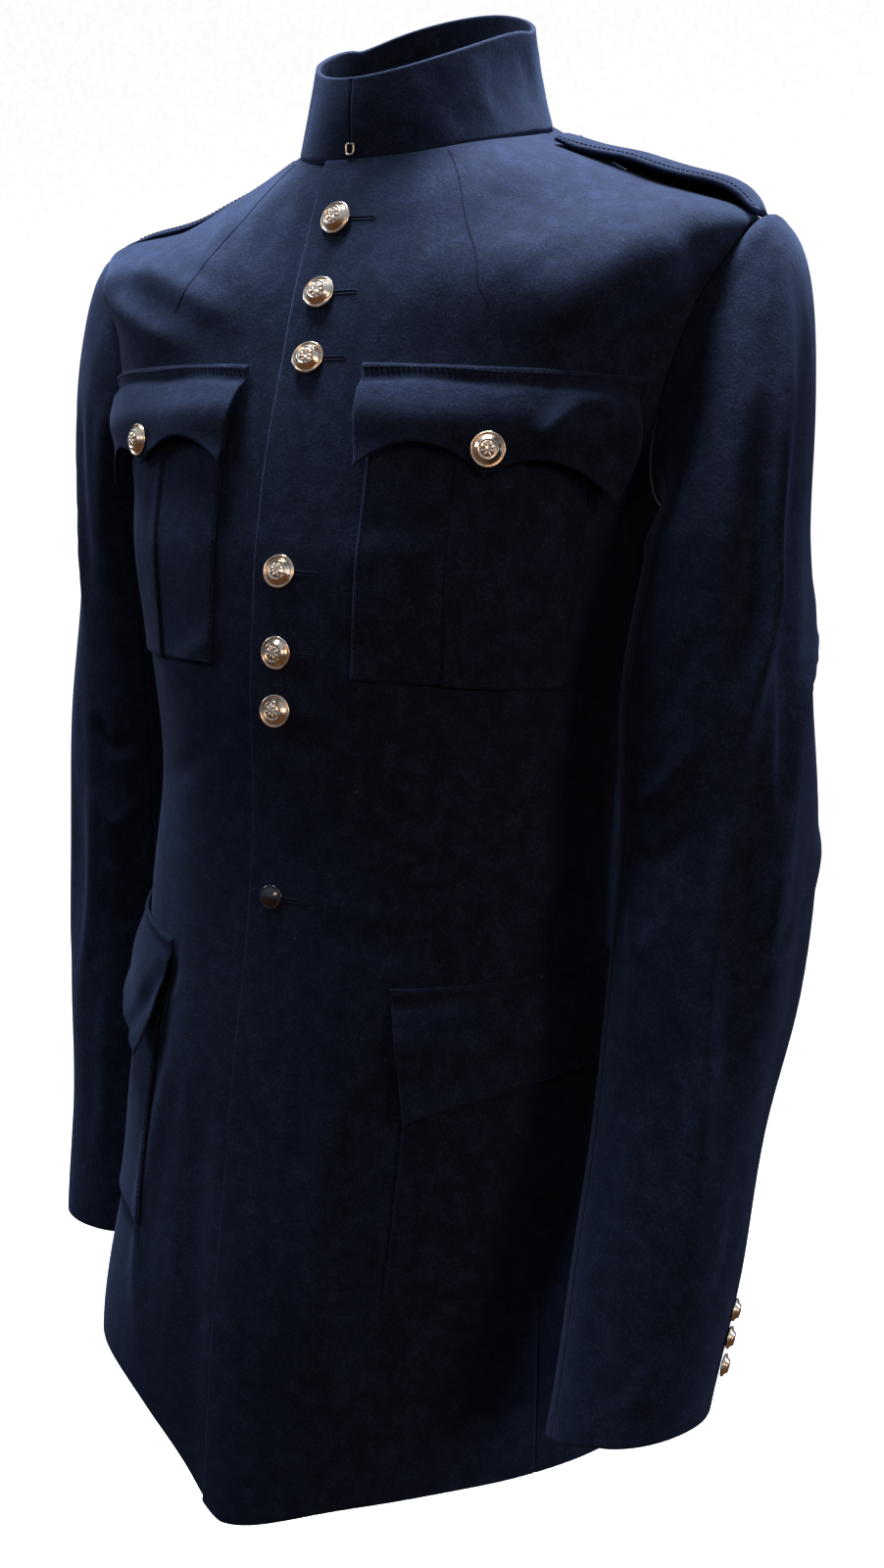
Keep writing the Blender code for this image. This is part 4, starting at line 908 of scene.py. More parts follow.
hind, fore = sleeve["hindCuff"], sleeve["foreCuff"]
for name, side in sides:
    creases = leftCreases if side > 0 else rightCreases

    def surface(turn, row):
        return armPoint(name, side, turn, row)

    for part, starts, ends in (("top", sleeve["topStarts"], (hind, fore)),
                               ("under", sleeve["underStarts"], (fore, hind + 360))):
        turn, row = sleevePlan(starts, ends)
        base, normals = armPoint(name, side, turn, row), sleeveNormal(name, side, turn, row)
        rise = creaseRise(base, creases, surface) * easeIn(row / sleeve["settle"])
        ridge = bump(row - sleeve["ridgeRow"], sleeve["ridgeRow"]) * bump(turn, sleeve["ridgeSpread"])
        rise = rise + sleeve["ridge"] * ridge
        base = base + normals * rise[..., None]
        hole = intoHole(side, turn)
        near = np.clip(1 - row / sleeve["tuck"], 0, 1)[..., None]
        inside = unit(normals - hole * near * np.maximum(0, np.sum(normals * hole, axis=-1, keepdims=True)))
        obj, _ = addWall(f"sleeve{part.title()}{name.title()}Cloth", base, normals, cloth["bodyWall"],
                         edgesOf("top"), inside)
        hang(obj, "wool", f"sleeve_{part}_{name}")
print("sleeves done")

# The stand collar
collar = {
    "columns": ("sideZ", "frontZ", "backZ", "half", "sideY", "frontY", "backY", "square", "fall"),
    "rows": (
        (-0.0174, -0.0534, 0.0086, 0.0746, 0.0120, -0.0866, 0.0676, 2.00, 1.10),
        (0.0020, -0.0390, 0.0290, 0.0675, 0.0110, -0.0890, 0.0640, 2.00, 1.10),
        (0.0205, -0.0250, 0.0485, 0.0625, 0.0105, -0.0900, 0.0600, 2.00, 1.15),
        (0.0385, -0.0115, 0.0670, 0.0595, 0.0100, -0.0895, 0.0560, 2.00, 1.20),
    ),
    "slit": -0.00008,  # with the gap this leaves the two ends all but touching
    "size": (0.42, 0.052),
    "top": 3.0,
    "foot": 0.003,  # the lower edge runs down inside the neck seam
    "cut": (0.44, 0.060),
}


def collarPoint(angle, place):
    row = readTable(collar, place)
    return ringPoint(row, angle, row["half"], row["sideZ"])


# routes in degrees from the centre front and rows up the collar
collarCreases = (
    (((64, 0.3), (59, 1.4), (63, 2.7)), 0.010, 0.0013, 0.3),
    (((50, 0.2), (46, 1.2), (49, 2.4)), 0.011, -0.0011, 0.1),
    (((28, 0.4), (33, 1.6), (30, 2.6)), 0.012, 0.0008, 0.0),
    (((84, 0.4), (88, 1.5), (82, 2.6)), 0.011, -0.0010, 0.1),
    (((120, 0.3), (124, 1.5), (119, 2.6)), 0.012, 0.0011, 0.2),
    (((162, 0.4), (158, 1.6), (161, 2.5)), 0.012, -0.0009, 0.0),
    (((207, 0.3), (211, 1.5), (206, 2.6)), 0.012, 0.0010, 0.1),
    (((246, 0.4), (242, 1.4), (247, 2.5)), 0.011, -0.0010, 0.1),
    (((292, 0.3), (297, 1.5), (291, 2.7)), 0.011, 0.0012, 0.2),
    (((326, 0.3), (322, 1.5), (327, 2.4)), 0.011, -0.0009, 0.1),
)
angle, place = np.meshgrid(360 * spaced(collar["size"][0]), collar["top"] * spaced(collar["size"][1]))
points = collarPoint(angle, place)
normals = unit(normalOf(collarPoint, angle, place) * (1, 1, 0))
rise = creaseRise(points, collarCreases, collarPoint)
points = points + normals * rise[..., None]
points[:, 0, 0], points[:, -1, 0] = collar["slit"], -collar["slit"]
points[0, :, 2] -= collar["foot"]
obj, _ = addWall("collarCloth", points, normals, cloth["collarWall"], edgesOf("left", "right", "top"))
hang(obj, "wool", "collar")
print("collar done")

# Where a place on the body lies, from its distance round from the centre front and its height
reachStep = 0.05
reachRows = np.arange(-1.0, 12.6, reachStep)
reachTables = {}
for name, side in sides:
    angles, rows = np.meshgrid(np.arange(0.0, 181.0) * side, reachRows)
    ring = bodyPoint(angles, rows)
    steps = np.linalg.norm(np.diff(ring, axis=1), axis=2)
    reachTables[side] = np.pad(np.cumsum(steps, axis=1), ((0, 0), (1, 0)))


def onBody(side, distance, height, rounds=8):
    shape = distance.shape
    distance, height = distance.ravel(), height.ravel()
    place = np.full(len(distance), body["shoulderRow"] / 2)
    table, probe = reachTables[side], reachStep
    for _ in range(rounds):
        at = np.clip((place - reachRows[0]) / reachStep, 0, len(reachRows) - 1.001)
        k = at.astype(int)
        f = (at - k)[:, None]
        lengths = table[k] * (1 - f) + table[k + 1] * f
        upper = np.clip((lengths < distance[:, None]).sum(axis=1), 1, 180)
        lines = np.arange(len(distance))
        low, high = lengths[lines, upper - 1], lengths[lines, upper]
        angle = upper - (high - distance) / (high - low)
        z = bodyPoint(side * angle, place)[:, 2]
        slope = (bodyPoint(side * angle, place + probe)[:, 2] - bodyPoint(side * angle, place - probe)[:, 2])
        place = place + (height - z) * 2 * probe / slope
    return (side * angle).reshape(shape), place.reshape(shape)


def layTrim(name, side, reach, height, out, across, down, edges):
    # a patch of cloth that lies on the body, from functions of its shares across and down
    u, w = np.meshgrid(across, down)
    angle, place = onBody(side, reach(u, w), height(u, w))
    points, normals = dressPoints(angle, place, side < 0, out(u, w) + cloth["trimWall"])
    turned = unit(np.cross(np.gradient(points, axis=1), np.gradient(points, axis=0)))
    turned = turned * np.sign(np.sum(turned * normals, axis=-1, keepdims=True))
    obj, grid = addWall(name, points, turned, cloth["trimWall"], edges)
    return obj, grid, turned


def sewTrim(kind, part, name, side, shape, lines, edges):
    # one flap or pocket with its stitching, a few lines of the grid in from its sewn edges
    title = f"{kind}{part.title()}{name.title()}"
    obj, grid, normals = layTrim(f"{title}Cloth", side, *shape, *lines, edges)
    hang(obj, "wool", f"{kind}_{part}_{name}")
    stitched = [np.s_[3]] if part == "flap" else [np.s_[:, 2], np.s_[:, -3], np.s_[-3]]
    addThread(f"{title}Thread", [(grid[line], normals[line]) for line in stitched])


# Breast pockets with a box pleat, under three-pointed flaps
breast = {
    "inner": 0.037, "outer": 0.197, "innerSlant": 0.006, "outerSlant": 0.016,
    "top": -0.170, "flapDepth": 0.058, "droop": 0.008, "arc": 0.015, "arcPower": 0.8,
    "margin": 0.010, "tuck": 0.020, "foot": -0.340,
    "lay": 0.0005, "pocketLay": 0.0008, "stack": 0.0044, "roll": 0.25, "stand": 0.004,
    "curl": 0.010, "curlStart": 0.62,
    "ridge": 0.0016, "valley": 0.0017, "swell": 0.0040, "swellDepth": 0.029, "swellWidth": 0.021,
    "pleatHalf": 0.018, "middle": 0.115, "pleatRise": 0.0019, "pleatEdge": 0.0008,
    "pleatLines": (-0.0012, -0.0006, 0.0, 0.0006, 0.0012),  # close lines of the grid at each fold
    # rises, each with its middle and spread in shares of the pocket, across or down
    "hollow": 0.0009, "hollowDown": (0.6, 0.5),
    "slack": 0.0022, "slackAcross": (0.5, 0.55), "slackDown": (0.45, 0.5),
    "flapSize": (0.160, 0.056), "flapCut": {"flat": (0.162, 0.068), "area": 0.0085},
    "pocketSize": (0.124, 0.150), "pocketCut": {"flat": (0.132, 0.158), "area": 0.0195},
}
pressed = {
    "uneven": 0.25, "turns": 19, "start": 1.0,  # of the seam's ridge along the flap
    "ridgeDepth": 0.0022, "ridgeWidth": 0.0042, "valleyDepth": 0.0085, "valleyWidth": 0.0060,
}


def flapProfile(u, depth, look):
    # the seam's ridge at the top, a pressed valley below it, then the flap's own swell
    wavy = 1 - pressed["uneven"] + pressed["uneven"] * np.sin(u * pressed["turns"] + pressed["start"])
    rise = look["ridge"] * wavy * bump(depth - pressed["ridgeDepth"], pressed["ridgeWidth"])
    rise = rise - look["valley"] * bump(depth - pressed["valleyDepth"], pressed["valleyWidth"])
    return rise + look["swell"] * bump(depth - look["swellDepth"], look["swellWidth"])


def swellAt(share, middle, spread):
    return bump(share - middle, spread)


def scallop(u, depth, arc):
    return depth - arc * np.sin(math.pi * ((2 * u) % 1.0)) ** breast["arcPower"]


def breastReach(u, w):
    inner = breast["inner"] + breast["innerSlant"] * w
    outer = breast["outer"] - breast["outerSlant"] * w
    return inner + (outer - inner) * u


# centre as shares of the flap, how many of its radii the flap measures each way, and its rises
buckle = {
    "u": 0.86, "w": 0.84, "wide": 6.4, "tall": 1.7, "crest": 0.0062, "spread": 0.42,
    "fill": 0.0022, "fillSpread": 1.3,
    "foot": 0.10, "fade": 0.30,  # the crest dies out below the centre
}


def breastBubble(side, u, w):
    # the near flap buckles up over its outer point, with an arched crest
    if side < 0:
        return 0.0
    far = np.hypot((u - buckle["u"]) * buckle["wide"], (w - buckle["w"]) * buckle["tall"])
    upper = easeIn((buckle["w"] + buckle["foot"] - w) / buckle["fade"])
    fill = buckle["fill"] * bump(far, buckle["fillSpread"])
    return buckle["crest"] * bump(far - 1, buckle["spread"]) * upper + fill


for name, side in sides:
    def flapHeight(u, w):
        droop = breast["droop"] * np.maximum(0, 2 * u - 1)
        return breast["top"] - w * (droop + scallop(u, breast["flapDepth"], breast["arc"]))

    def flapOut(u, w):
        depth = breast["top"] - flapHeight(u, w)
        curl = breast["stand"] + breast["curl"] * np.maximum(0, u - breast["curlStart"])
        over = breast["lay"] + breast["stack"] * np.minimum(1, w / breast["roll"]) + curl * w * w
        return over + flapProfile(u, depth, breast) + breastBubble(side, u, w)

    across, down = breast["flapSize"]
    sewTrim("breast", "flap", name, side, (breastReach, flapHeight, flapOut),
            (spaced(across, (0.5,)), spaced(down)), edgesOf("left", "right", "bottom", "top"))

    left = breast["inner"] + breast["margin"]
    right = breast["outer"] - breast["outerSlant"] - breast["margin"]
    top = breast["top"] - breast["tuck"]

    def pocketReach(u, w):
        return left + (right - left) * u

    def pocketHeight(u, w):
        return top + (breast["foot"] - top) * w

    def pocketOut(u, w):
        off, edge = np.abs(pocketReach(u, w) - breast["middle"]), breast["pleatEdge"]
        pleat = easeIn((breast["pleatHalf"] + edge - off) / (2 * edge))
        hollow = breast["hollow"] * bump(off, breast["pleatHalf"]) * swellAt(w, *breast["hollowDown"])
        slack = breast["slack"] * swellAt(w, *breast["slackDown"]) * swellAt(u, *breast["slackAcross"])
        return breast["pocketLay"] + breast["pleatRise"] * pleat - hollow + slack

    folds = [(breast["middle"] + s * breast["pleatHalf"] + d - left) / (right - left)
             for s in (-1, 1) for d in breast["pleatLines"]]
    across, down = breast["pocketSize"]
    columns = np.unique(np.concatenate([spaced(across), folds]).round(7))
    sewTrim("breast", "pocket", name, side, (pocketReach, pocketHeight, pocketOut), (columns, spaced(down)),
            edgesOf())
print("breast pockets done")

# Skirt pockets, large patches under a flap with one shallow arc
skirt = {
    "inner": 0.078, "outer": 0.250, "slant": 0.015, "top": -0.513, "climb": 0.016,
    "flapDepth": 0.078, "arc": 0.017, "arcPower": 0.8,
    "proud": {"left": 0.001, "right": 0.008},
    "foot": -0.700, "margin": 0.004, "tuck": 0.020,
    "lay": 0.0005, "pocketLay": 0.0012, "roll": 0.25, "stand": 0.004,
    "ridge": 0.0013, "valley": 0.0012, "swell": 0.0026, "swellDepth": 0.032, "swellWidth": 0.022,
    "slack": 0.0030, "slackAcross": (0.45, 0.5), "slackDown": (0.5, 0.5),
    "flapSize": (0.175, 0.075), "flapCut": {"flat": (0.180, 0.084), "area": 0.0125},
    "pocketSize": (0.153, 0.170), "pocketCut": {"flat": (0.156, 0.186), "area": 0.0272},
}
for name, side in sides:
    def flapReach(u, w):
        return skirt["inner"] + (skirt["outer"] - skirt["inner"]) * u + skirt["slant"] * w * (1 - 0.5 * u)

    def flapHeight(u, w):
        depth = skirt["flapDepth"] - skirt["arc"] * np.sin(math.pi * u) ** skirt["arcPower"]
        return skirt["top"] + skirt["climb"] * u - w * depth

    def flapOut(u, w):
        depth = skirt["top"] + skirt["climb"] * u - flapHeight(u, w)
        over = (cloth["trimWall"] + skirt["pocketLay"]) * np.minimum(1, w / skirt["roll"])
        stand = (skirt["stand"] + skirt["proud"][name] * (1 - 0.5 * u)) * w * w
        return skirt["lay"] + over + stand + flapProfile(u, depth, skirt)

    across, down = skirt["flapSize"]
    sewTrim("skirt", "flap", name, side, (flapReach, flapHeight, flapOut), (spaced(across), spaced(down)),
            edgesOf("left", "right", "bottom", "top"))

    left, right = skirt["inner"] + skirt["slant"], skirt["outer"] - skirt["margin"]

    def pocketReach(u, w):
        return left + (right - left) * u

    def pocketHeight(u, w):
        return (skirt["top"] + skirt["climb"] * u - skirt["tuck"]) * (1 - w) + skirt["foot"] * w

    def pocketOut(u, w):
        return (skirt["pocketLay"]
                + skirt["slack"] * swellAt(u, *skirt["slackAcross"]) * swellAt(w, *skirt["slackDown"]))

    across, down = skirt["pocketSize"]
    sewTrim("skirt", "pocket", name, side, (pocketReach, pocketHeight, pocketOut),
            (spaced(across), spaced(down)), edgesOf())
print("skirt pockets done")

# Shoulder straps
strap = {
    "halfOuter": 0.024, "halfInner": 0.019, "outerRow": 10.00, "innerRow": 11.80, "seat": 0.0005,
    "lifts": {"left": 0.0130, "right": 0.0080}, "arch": 0.6, "innerFall": 0.50, "droop": 0.0085,
    "rearDroop": {"left": 0.0260, "right": 0.0}, "ripple": 0.0007, "ripples": 14,
    "size": (0.044, 0.140), "cut": (0.050, 0.140), "area": 0.0065,
}


def shoulderUnder(side, place, y):
    row = readTable(body, place)
    back = y > row["sideY"]
    depth = np.where(back, row["backY"], row["frontY"]) - row["sideY"]
    power = np.where(back, body["backSquare"], row["square"]) / 2
    lean = np.degrees(np.arcsin(np.clip((y - row["sideY"]) / depth, 0, 1) ** power))
    return bodyPoint(side * (90 + np.where(back, lean, -lean)), place)


for name, side in sides:
    u, w = np.meshgrid(2 * spaced(strap["size"][0]) - 1, spaced(strap["size"][1]))
    place = strap["outerRow"] + (strap["innerRow"] - strap["outerRow"]) * w
    half = strap["halfOuter"] + (strap["halfInner"] - strap["halfOuter"]) * w
    ridge = bodyPoint(np.full(w.shape, side * 90.0), place)
    lift = strap["lifts"][name] * (1 - strap["innerFall"] * w * w)
    arch = strap["seat"] + lift * np.clip(np.sin(math.pi * w), 0, 1) ** strap["arch"]
    y = ridge[..., 1] + u * half
    under = shoulderUnder(side, place, y)
    hangs = strap["droop"] + np.where(u > 0, strap["rearDroop"][name], 0)
    flat = ridge[..., 2] + arch - hangs * u * u + strap["ripple"] * np.sin(w * strap["ripples"] + u)
    z = np.maximum(flat, under[..., 2] + strap["seat"]) + cloth["strapWall"]
    points = np.stack([ridge[..., 0], y, z], axis=-1)
    normals = unit(np.cross(np.gradient(points, axis=1), np.gradient(points, axis=0)))
    normals = normals * np.sign(normals[..., 2:])
    obj, grid = addWall(f"shoulderStrap{name.title()}Cloth", points, normals, cloth["strapWall"],
                        edgesOf("left", "right", "top"))
    hang(obj, "wool", f"shoulder_strap_{name}")
    addThread(f"shoulderStrap{name.title()}Thread",
              [(grid[:, 3], normals[:, 3]), (grid[:, -4], normals[:, -4])])
print("shoulder straps done")

# Buttons
button = {
    "radius": 0.0095, "dome": 0.0055, "smallRadius": 0.0073, "smallDome": 0.0036,
    "cuffRadius": 0.0064, "cuffDome": 0.0042,
    "heights": (-0.089, -0.131, -0.167, -0.284, -0.329, -0.362),
    "waistHeight": -0.471, "lay": 0.0004, "cuffLay": 0.0008, "flapLay": 0.0015, "breastDrop": 0.044,
    "cuffLifts": (0.030, 0.046, 0.062), "cuffTurn": 10.0,
    "steps": 48,
    # shares of the radius and the dome's height: back, rolled rim, groove, dome, inner ring, centre
    "profile": ((0.80, 0.00), (0.97, 0.06), (1.00, 0.20), (0.985, 0.34), (0.93, 0.42), (0.87, 0.38),
                (0.84, 0.28), (0.80, 0.38), (0.70, 0.60), (0.60, 0.74), (0.57, 0.86), (0.535, 0.87),
                (0.51, 0.76), (0.40, 0.85), (0.20, 0.94)),
    "smallProfile": ((0.80, 0.00), (0.97, 0.08), (1.00, 0.26), (0.95, 0.46), (0.88, 0.50), (0.82, 0.44),
                     (0.66, 0.62), (0.40, 0.84), (0.18, 0.95)),
    # the rosette's beads, in shares of the radius and the dome's height, with their stretch
    "petals": 8, "petalOut": 0.27, "petalUp": 0.91, "petalRadius": 0.13, "petalScale": (1.35, 0.62, 0.42),
    # small tilts of each front button as it hangs, forward and sideways in degrees
    "tilts": ((3, -4), (-4, 3), (-9, 7), (-10, 8), (-4, 2), (-11, 6), (-3, 5)),
    "spin": 0.7,  # further turn of each button down the front, in radians
    "centre": 0.0005,  # from the centre line to their middles
}
frontHeights = button["heights"] + (button["waistHeight"],)


def selectNothing():
    if bpy.context.mode != "OBJECT":
        bpy.ops.object.mode_set(mode="OBJECT")
    bpy.ops.object.select_all(action="DESELECT")


def turnButton(name, radius, dome, profile, material, petals=0):
    # a ring drawn out step by step along the button's profile and closed at its crown
    selectNothing()
    bpy.ops.mesh.primitive_circle_add(vertices=button["steps"], radius=radius * profile[0][0],
                                      fill_type="NGON")
    obj = bpy.context.object
    obj.name = name
    bpy.ops.object.mode_set(mode="EDIT")
    bpy.ops.mesh.select_mode(type="EDGE")
    bpy.ops.mesh.select_all(action="SELECT")
    for (r, h), (nextR, nextH) in zip(profile, profile[1:]):
        bpy.ops.mesh.extrude_region_move(TRANSFORM_OT_translate={"value": (0, 0, dome * (nextH - h))})
        grow = nextR / r
        bpy.ops.transform.resize(value=(grow, grow, 1), center_override=(0, 0, 0))
    bpy.ops.mesh.extrude_region_move(TRANSFORM_OT_translate={"value": (0, 0, dome * (1 - profile[-1][1]))})
    bpy.ops.mesh.merge(type="CENTER")
    bpy.ops.mesh.select_all(action="SELECT")
    bpy.ops.mesh.remove_doubles(threshold=0.000005)
    bpy.ops.mesh.normals_make_consistent(inside=False)
    bpy.ops.object.mode_set(mode="OBJECT")
    obj.data.materials.append(material)
    for k in range(petals):
        addPetal(obj, k * 2 * math.pi / petals, radius, dome, material)
    obj.data.shade_smooth()
    return obj


def addPetal(target, turn, radius, dome, material):
    # one bead of the generic rosette, joined onto the crown
    selectNothing()
    out = button["petalOut"] * radius
    place = (out * math.cos(turn), out * math.sin(turn), dome * button["petalUp"])
    bpy.ops.mesh.primitive_uv_sphere_add(segments=12, ring_count=8, radius=radius * button["petalRadius"],
                                         location=place)
    bead = bpy.context.object
    bead.rotation_euler = (0, 0, turn)
    bead.scale = button["petalScale"]
    bpy.ops.object.transform_apply(location=True, rotation=True, scale=True)
    bead.data.materials.append(material)
    target.select_set(True)
    bpy.context.view_layer.objects.active = target
    bpy.ops.object.join()


def seatButton(model, name, node, seat, normal, slot, tilt=(0, 0), spin=0.0):
    # a copy of the button, turned to face out from the cloth, with its place in its own mesh
    obj = model.copy()
    obj.data = model.data.copy()
    obj.name = name
    bpy.context.scene.collection.objects.link(obj)
    turn = Vector((0, 0, 1)).rotation_difference(Vector(normal)).to_matrix().to_4x4()
    lean = Matrix.Rotation(math.radians(tilt[0]), 4, "X") @ Matrix.Rotation(math.radians(tilt[1]), 4, "Z")
    obj.data.transform(Matrix.Translation(Vector(seat)) @ lean @ turn @ Matrix.Rotation(spin, 4, "Z"))
    return hang(obj, slot, node)


big = turnButton("giltButtonModel", button["radius"], button["dome"], button["profile"], gilt,
                 button["petals"])
small = turnButton("blackButtonModel", button["smallRadius"], button["smallDome"],
                   button["smallProfile"], resin)
tiny = turnButton("cuffButtonModel", button["cuffRadius"], button["cuffDome"], button["profile"], gilt)


for number, height in enumerate(frontHeights, 1):
    angle, place = onBody(1, np.array([button["centre"]]), np.array([height]))
    (point,), (normal,) = dressPoints(angle, place)
    isBlack = height == button["waistHeight"]
    seatButton(small if isBlack else big, f"frontButton{number}", f"button_front_{number}",
               point + normal * button["lay"], normal, "black_button" if isBlack else "gilt",
               button["tilts"][number - 1], number * button["spin"])
for name, side in sides:
    drop = button["breastDrop"] / breast["flapDepth"]
    height = breast["top"] - button["breastDrop"]
    angle, place = onBody(side, np.array([breastReach(0.5, drop)]), np.array([height]))
    out = (breast["lay"] + breast["stack"] + breast["stand"] * drop * drop + cloth["trimWall"]
           + button["flapLay"] + flapProfile(0.5, button["breastDrop"], breast))
    point, normal = dressPoints(angle, place, out=out)
    seatButton(big, f"pocketButton{name.title()}", f"button_pocket_{name}", point[0], normal[0], "gilt")
    length = sleeve[name][0][0] - sleeve[name][-1][0]
    for number, up in enumerate(button["cuffLifts"], 1):
        row = np.array([sleeve["capRows"] + sleeve["armRows"] * (1 - up / length)])
        turn = np.array([sleeve["hindCuff"] + button["cuffTurn"]])
        normal = sleeveNormal(name, side, turn, row)[0]
        point = armPoint(name, side, turn, row)[0] + normal * button["cuffLay"]
        seatButton(tiny, f"cuffButton{name.title()}{number}", f"button_cuff_{name}_{number}",
                   point, normal, "gilt")
for model in (big, small, tiny):
    bpy.data.objects.remove(model, do_unlink=True)
print("buttons done")

# Buttonholes, worked in purl stitches on the left front
holeLook = {
    "start": 0.0030, "length": 0.0215, "half": 0.0009, "wire": 0.00032, "lay": 0.0001, "steps": 40,
    "endSquare": 1.15, "sideSquare": 1.6,  # how flat the ends and the two long sides are
}


def addLoop(name, route, radius, material, slot, closed=True, node=None):
    # a bent thread or wire, as a tube of even thickness
    curve = bpy.data.curves.new(name, "CURVE")
    curve.dimensions = "3D"
    curve.bevel_depth = radius
    curve.bevel_resolution = 3
    curve.use_fill_caps = True
    spline = curve.splines.new("POLY")
    spline.points.add(len(route) - 1)
    spline.points.foreach_set("co", np.column_stack([route, np.ones(len(route))]).ravel())
    spline.use_cyclic_u = closed
    obj = addObject(name, curve)
    selectNothing()
    obj.select_set(True)
    bpy.context.view_layer.objects.active = obj
    bpy.ops.object.convert(target="MESH")
    obj = bpy.context.object
    obj.data.materials.clear()
    obj.data.materials.append(material)
    obj.data.shade_smooth()
    return hang(obj, slot, node) if node else hang(obj, slot)


for number, height in enumerate(frontHeights, 1):
    turns = np.linspace(0, 2 * math.pi, holeLook["steps"], endpoint=False)
    share = 0.5 - 0.5 * np.clip(holeLook["endSquare"] * np.cos(turns), -1, 1)
    rise = holeLook["half"] * np.clip(holeLook["sideSquare"] * np.sin(turns), -1, 1)
    angle, place = onBody(1, holeLook["start"] + holeLook["length"] * share, height + rise)
    line, normals = dressPoints(angle, place)
    addLoop(f"buttonhole{number}", line + normals * holeLook["lay"], holeLook["wire"], thread, "wool")

# Darts from the neck seam, pressed flat, each closed by one fine line: the real seam, drawn darker than the
# wool as painted shade
dartLook = {
    "wire": 0.00026, "lay": 0.00005, "steps": 70,
    "route": ((39, 11.92), (29, 11.0), (23.4, 10.05), (25.5, 9.6)),  # in angle and row, as the creases
}
for name, side in sides:
    places = alongRoute(dartLook["route"], dartLook["steps"])
    line, normals = dressPoints(side * places[:, 0], places[:, 1], side < 0)
    addLoop(f"neckDart{name.title()}", line + normals * dartLook["lay"], dartLook["wire"], seamShade, "wool",
            closed=False)

# The collar's hook
hook = {
    "wire": 0.00055, "half": 0.0024, "height": 0.0056, "lift": 0.0014, "lean": 0.0009, "stand": 0.0009,
    "steps": 46,
    # shares of its half width, its height and how far it stands out
    "route": ((-0.2, 1.0, 0.0), (-0.9, 0.95, 0.2), (-1.0, 0.55, 0.5), (-0.9, 0.15, 0.7), (-0.35, 0.0, 1.2),
              (0.35, 0.0, 1.2), (0.9, 0.15, 0.7), (1.0, 0.55, 0.5), (0.9, 0.95, 0.2), (0.2, 1.0, 0.0)),
}
first = dict(zip(collar["columns"], collar["rows"][0]))
ways = np.array(hook["route"])
fine = np.linspace(0, len(ways) - 1, hook["steps"])
ways = np.stack([smooth(ways[:, k], fine) for k in range(3)], axis=-1)
route = np.stack([ways[:, 0] * hook["half"],
                  first["frontY"] - hook["wire"] - hook["lean"] * ways[:, 1] - hook["stand"] * ways[:, 2],
                  first["frontZ"] + hook["lift"] + hook["height"] * ways[:, 1]], axis=-1)
addLoop("collarHookWire", route, hook["wire"], steel, "steel", closed=False, node="collar_hook")
print("sewing and hook done")

# Floor that curves up into a pale backdrop all round, camera and lights
studio = {
    "floor": -1.45, "radius": 3.6, "bend": 1.3, "height": 3.6, "bendSteps": 10, "around": 64,
    "colour": "#fcfcfb", "grain": "#ececeb", "grainScale": 60.0, "glow": 1.0, "roughness": 0.9,
    "cameraPlace": (0.428, -0.790, -0.261), "yaw": 26.3, "pitch": 10.1, "roll": 3.4, "lens": 31.5,
    "above": "#c9d6ee", "level": "#8f98ad", "below": "#7a5a44", "heights": (0.35, 0.52, 0.75),
    "worldStrength": 0.09, "backdrop": 1.0, "mirrored": 0.6,
}


def addStage(look):
    # a disc of paper whose rim is drawn up in a curve; it glows a little so that it stays pale
    selectNothing()
    bpy.ops.mesh.primitive_circle_add(vertices=look["around"], radius=look["radius"] - look["bend"],
                                      fill_type="NGON", location=(0, 0, look["floor"]))
    obj = bpy.context.object
    obj.name = "studioPaper"
    bpy.ops.object.transform_apply(location=True)
    bpy.ops.object.mode_set(mode="EDIT")
    bpy.ops.mesh.select_mode(type="EDGE")
    bpy.ops.mesh.select_all(action="SELECT")
    radius, up = look["radius"] - look["bend"], 0.0
    for k in range(1, look["bendSteps"] + 1):
        turn = math.pi / 2 * k / look["bendSteps"]
        wide = look["radius"] - look["bend"] * (1 - math.sin(turn))
        high = look["bend"] * (1 - math.cos(turn))
        bpy.ops.mesh.extrude_region_move(TRANSFORM_OT_translate={"value": (0, 0, high - up)})
        bpy.ops.transform.resize(value=(wide / radius, wide / radius, 1), center_override=(0, 0, 0))
        radius, up = wide, high
    bpy.ops.mesh.extrude_region_move(TRANSFORM_OT_translate={"value": (0, 0, look["height"])})
    bpy.ops.mesh.delete(type="ONLY_FACE")  # the lid, so that the paper stays open above
    bpy.ops.object.mode_set(mode="OBJECT")
    obj.data.shade_smooth()
    material, tree, shader, place = startMaterial("paleStudioPaper")
    grain = addNode(tree, "ShaderNodeTexNoise", values={"Scale": look["grainScale"]}, links={"Vector": place})
    tone = addNode(tree, "ShaderNodeMix", {"data_type": "RGBA"},
                   {"A": linearColour(look["colour"]), "B": linearColour(look["grain"])},
                   {"Factor": grain.outputs["Fac"]})
    for socket in ("Base Color", "Emission Color"):
        tree.links.new(tone.outputs["Result"], shader.inputs[socket])
    setSockets(shader, {"Emission Strength": look["glow"], "Roughness": look["roughness"]})
    obj.data.materials.append(material)
    obj.visible_diffuse = False
    obj.visible_glossy = False


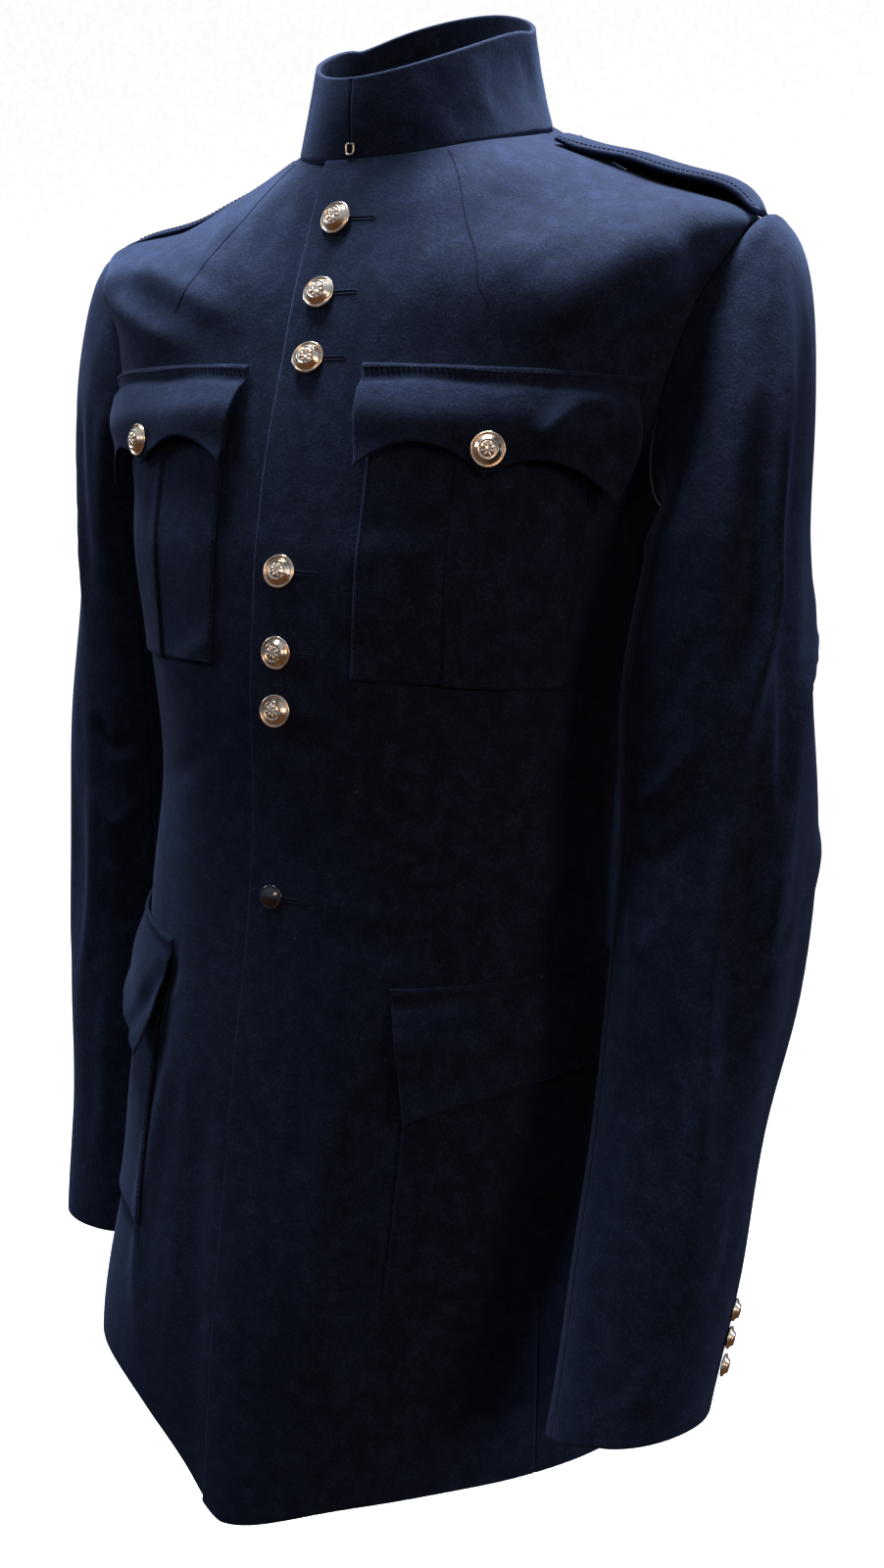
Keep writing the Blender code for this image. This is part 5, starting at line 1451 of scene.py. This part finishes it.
def addCamera(look):
    yaw, pitch, roll = (math.radians(look[k]) for k in ("yaw", "pitch", "roll"))
    ahead = Vector((-math.sin(yaw) * math.cos(pitch), math.cos(yaw) * math.cos(pitch), -math.sin(pitch)))
    right = Vector((math.cos(yaw), math.sin(yaw), 0))
    up = right.cross(ahead)
    across = right * math.cos(roll) + up * math.sin(roll)
    upward = up * math.cos(roll) - right * math.sin(roll)
    camera = addObject("photoCamera", bpy.data.cameras.new("photoCamera"))
    camera.data.lens = look["lens"]
    camera.data.sensor_width = 36.0
    camera.data.clip_start = 0.02
    camera.matrix_world = Matrix.Translation(look["cameraPlace"]) @ Matrix(
        ((across.x, upward.x, -ahead.x),
         (across.y, upward.y, -ahead.y),
         (across.z, upward.z, -ahead.z))).to_4x4()
    bpy.context.scene.camera = camera


# name, place, what it looks at, size, power in watts, colour
lamps = (
    ("softboxAbove", (-0.02, 0.26, 1.12), (0.0, 0.0, -0.10), (0.40, 0.40), 57.0, "#f4f6ff"),
    ("softboxAboveFront", (-0.28, -0.16, 1.10), (0.0, 0.0, -0.10), (0.36, 0.36), 22.0, "#f4f6ff"),
    ("softboxFront", (0.6, -2.3, 0.55), (0.0, 0.0, -0.40), (0.6, 0.6), 6.0, "#ffd2b0"),
    ("softboxRight", (2.2, 1.0, 0.35), (0.1, 0.0, -0.35), (0.5, 1.2), 16.0, "#dfe6ff"),
    ("softboxRightFront", (2.2, -0.8, 0.2), (0.1, 0.0, -0.35), (0.5, 0.9), 7.0, "#ffd8c0"),
    ("softboxLeftFront", (-1.9, -0.6, 0.6), (-0.1, 0.0, -0.20), (0.5, 0.6), 9.0, "#eef1ff"),
    ("softboxLeft", (-2.0, 0.6, 0.3), (-0.1, 0.0, -0.35), (0.6, 1.2), 6.0, "#e6ecff"),
)


def addLamps():
    for name, place, target, size, power, colour in lamps:
        lamp = bpy.data.lights.new(name, "AREA")
        lamp.shape = "RECTANGLE"
        lamp.size, lamp.size_y = size
        lamp.energy = power
        lamp.color = linearColour(colour)[:3]
        obj = addObject(name, lamp)
        obj.location = place
        obj.rotation_euler = (Vector(target) - Vector(place)).to_track_quat("-Z", "Y").to_euler()


def setWorld(look):
    # dim surroundings, cool above and warm below, with a pale backdrop wherever the paper ends
    world = bpy.data.worlds.new("paleStudio")
    world.use_nodes = True
    tree = world.node_tree
    way = addNode(tree, "ShaderNodeTexCoord").outputs["Generated"]
    parts = addNode(tree, "ShaderNodeSeparateXYZ", links={"Vector": way})
    height = addNode(tree, "ShaderNodeMapRange", values={"From Min": -1.0, "From Max": 1.0},
                     links={"Value": parts.outputs["Z"]})
    tone = addNode(tree, "ShaderNodeValToRGB", links={"Fac": height.outputs["Result"]})
    colour = setRamp(tone, zip(look["heights"], (look["below"], look["level"], look["above"])))
    path = addNode(tree, "ShaderNodeLightPath")
    shown = addNode(tree, "ShaderNodeMix", {"data_type": "RGBA"}, {"B": linearColour(look["colour"])},
                    {"Factor": path.outputs["Is Camera Ray"], "A": colour})
    metal = addNode(tree, "ShaderNodeMix", {"data_type": "FLOAT"},
                    {"A": look["worldStrength"], "B": look["mirrored"]},
                    {"Factor": path.outputs["Is Glossy Ray"]})
    strength = addNode(tree, "ShaderNodeMix", {"data_type": "FLOAT"}, {"B": look["backdrop"]},
                       {"Factor": path.outputs["Is Camera Ray"], "A": metal.outputs["Result"]})
    background = tree.nodes["Background"]
    tree.links.new(shown.outputs["Result"], background.inputs["Color"])
    tree.links.new(strength.outputs["Result"], background.inputs["Strength"])
    bpy.context.scene.world = world


addStage(studio)
addCamera(studio)
addLamps()
setWorld(studio)
bpy.context.scene.view_settings.view_transform = "Standard"
print("studio done")
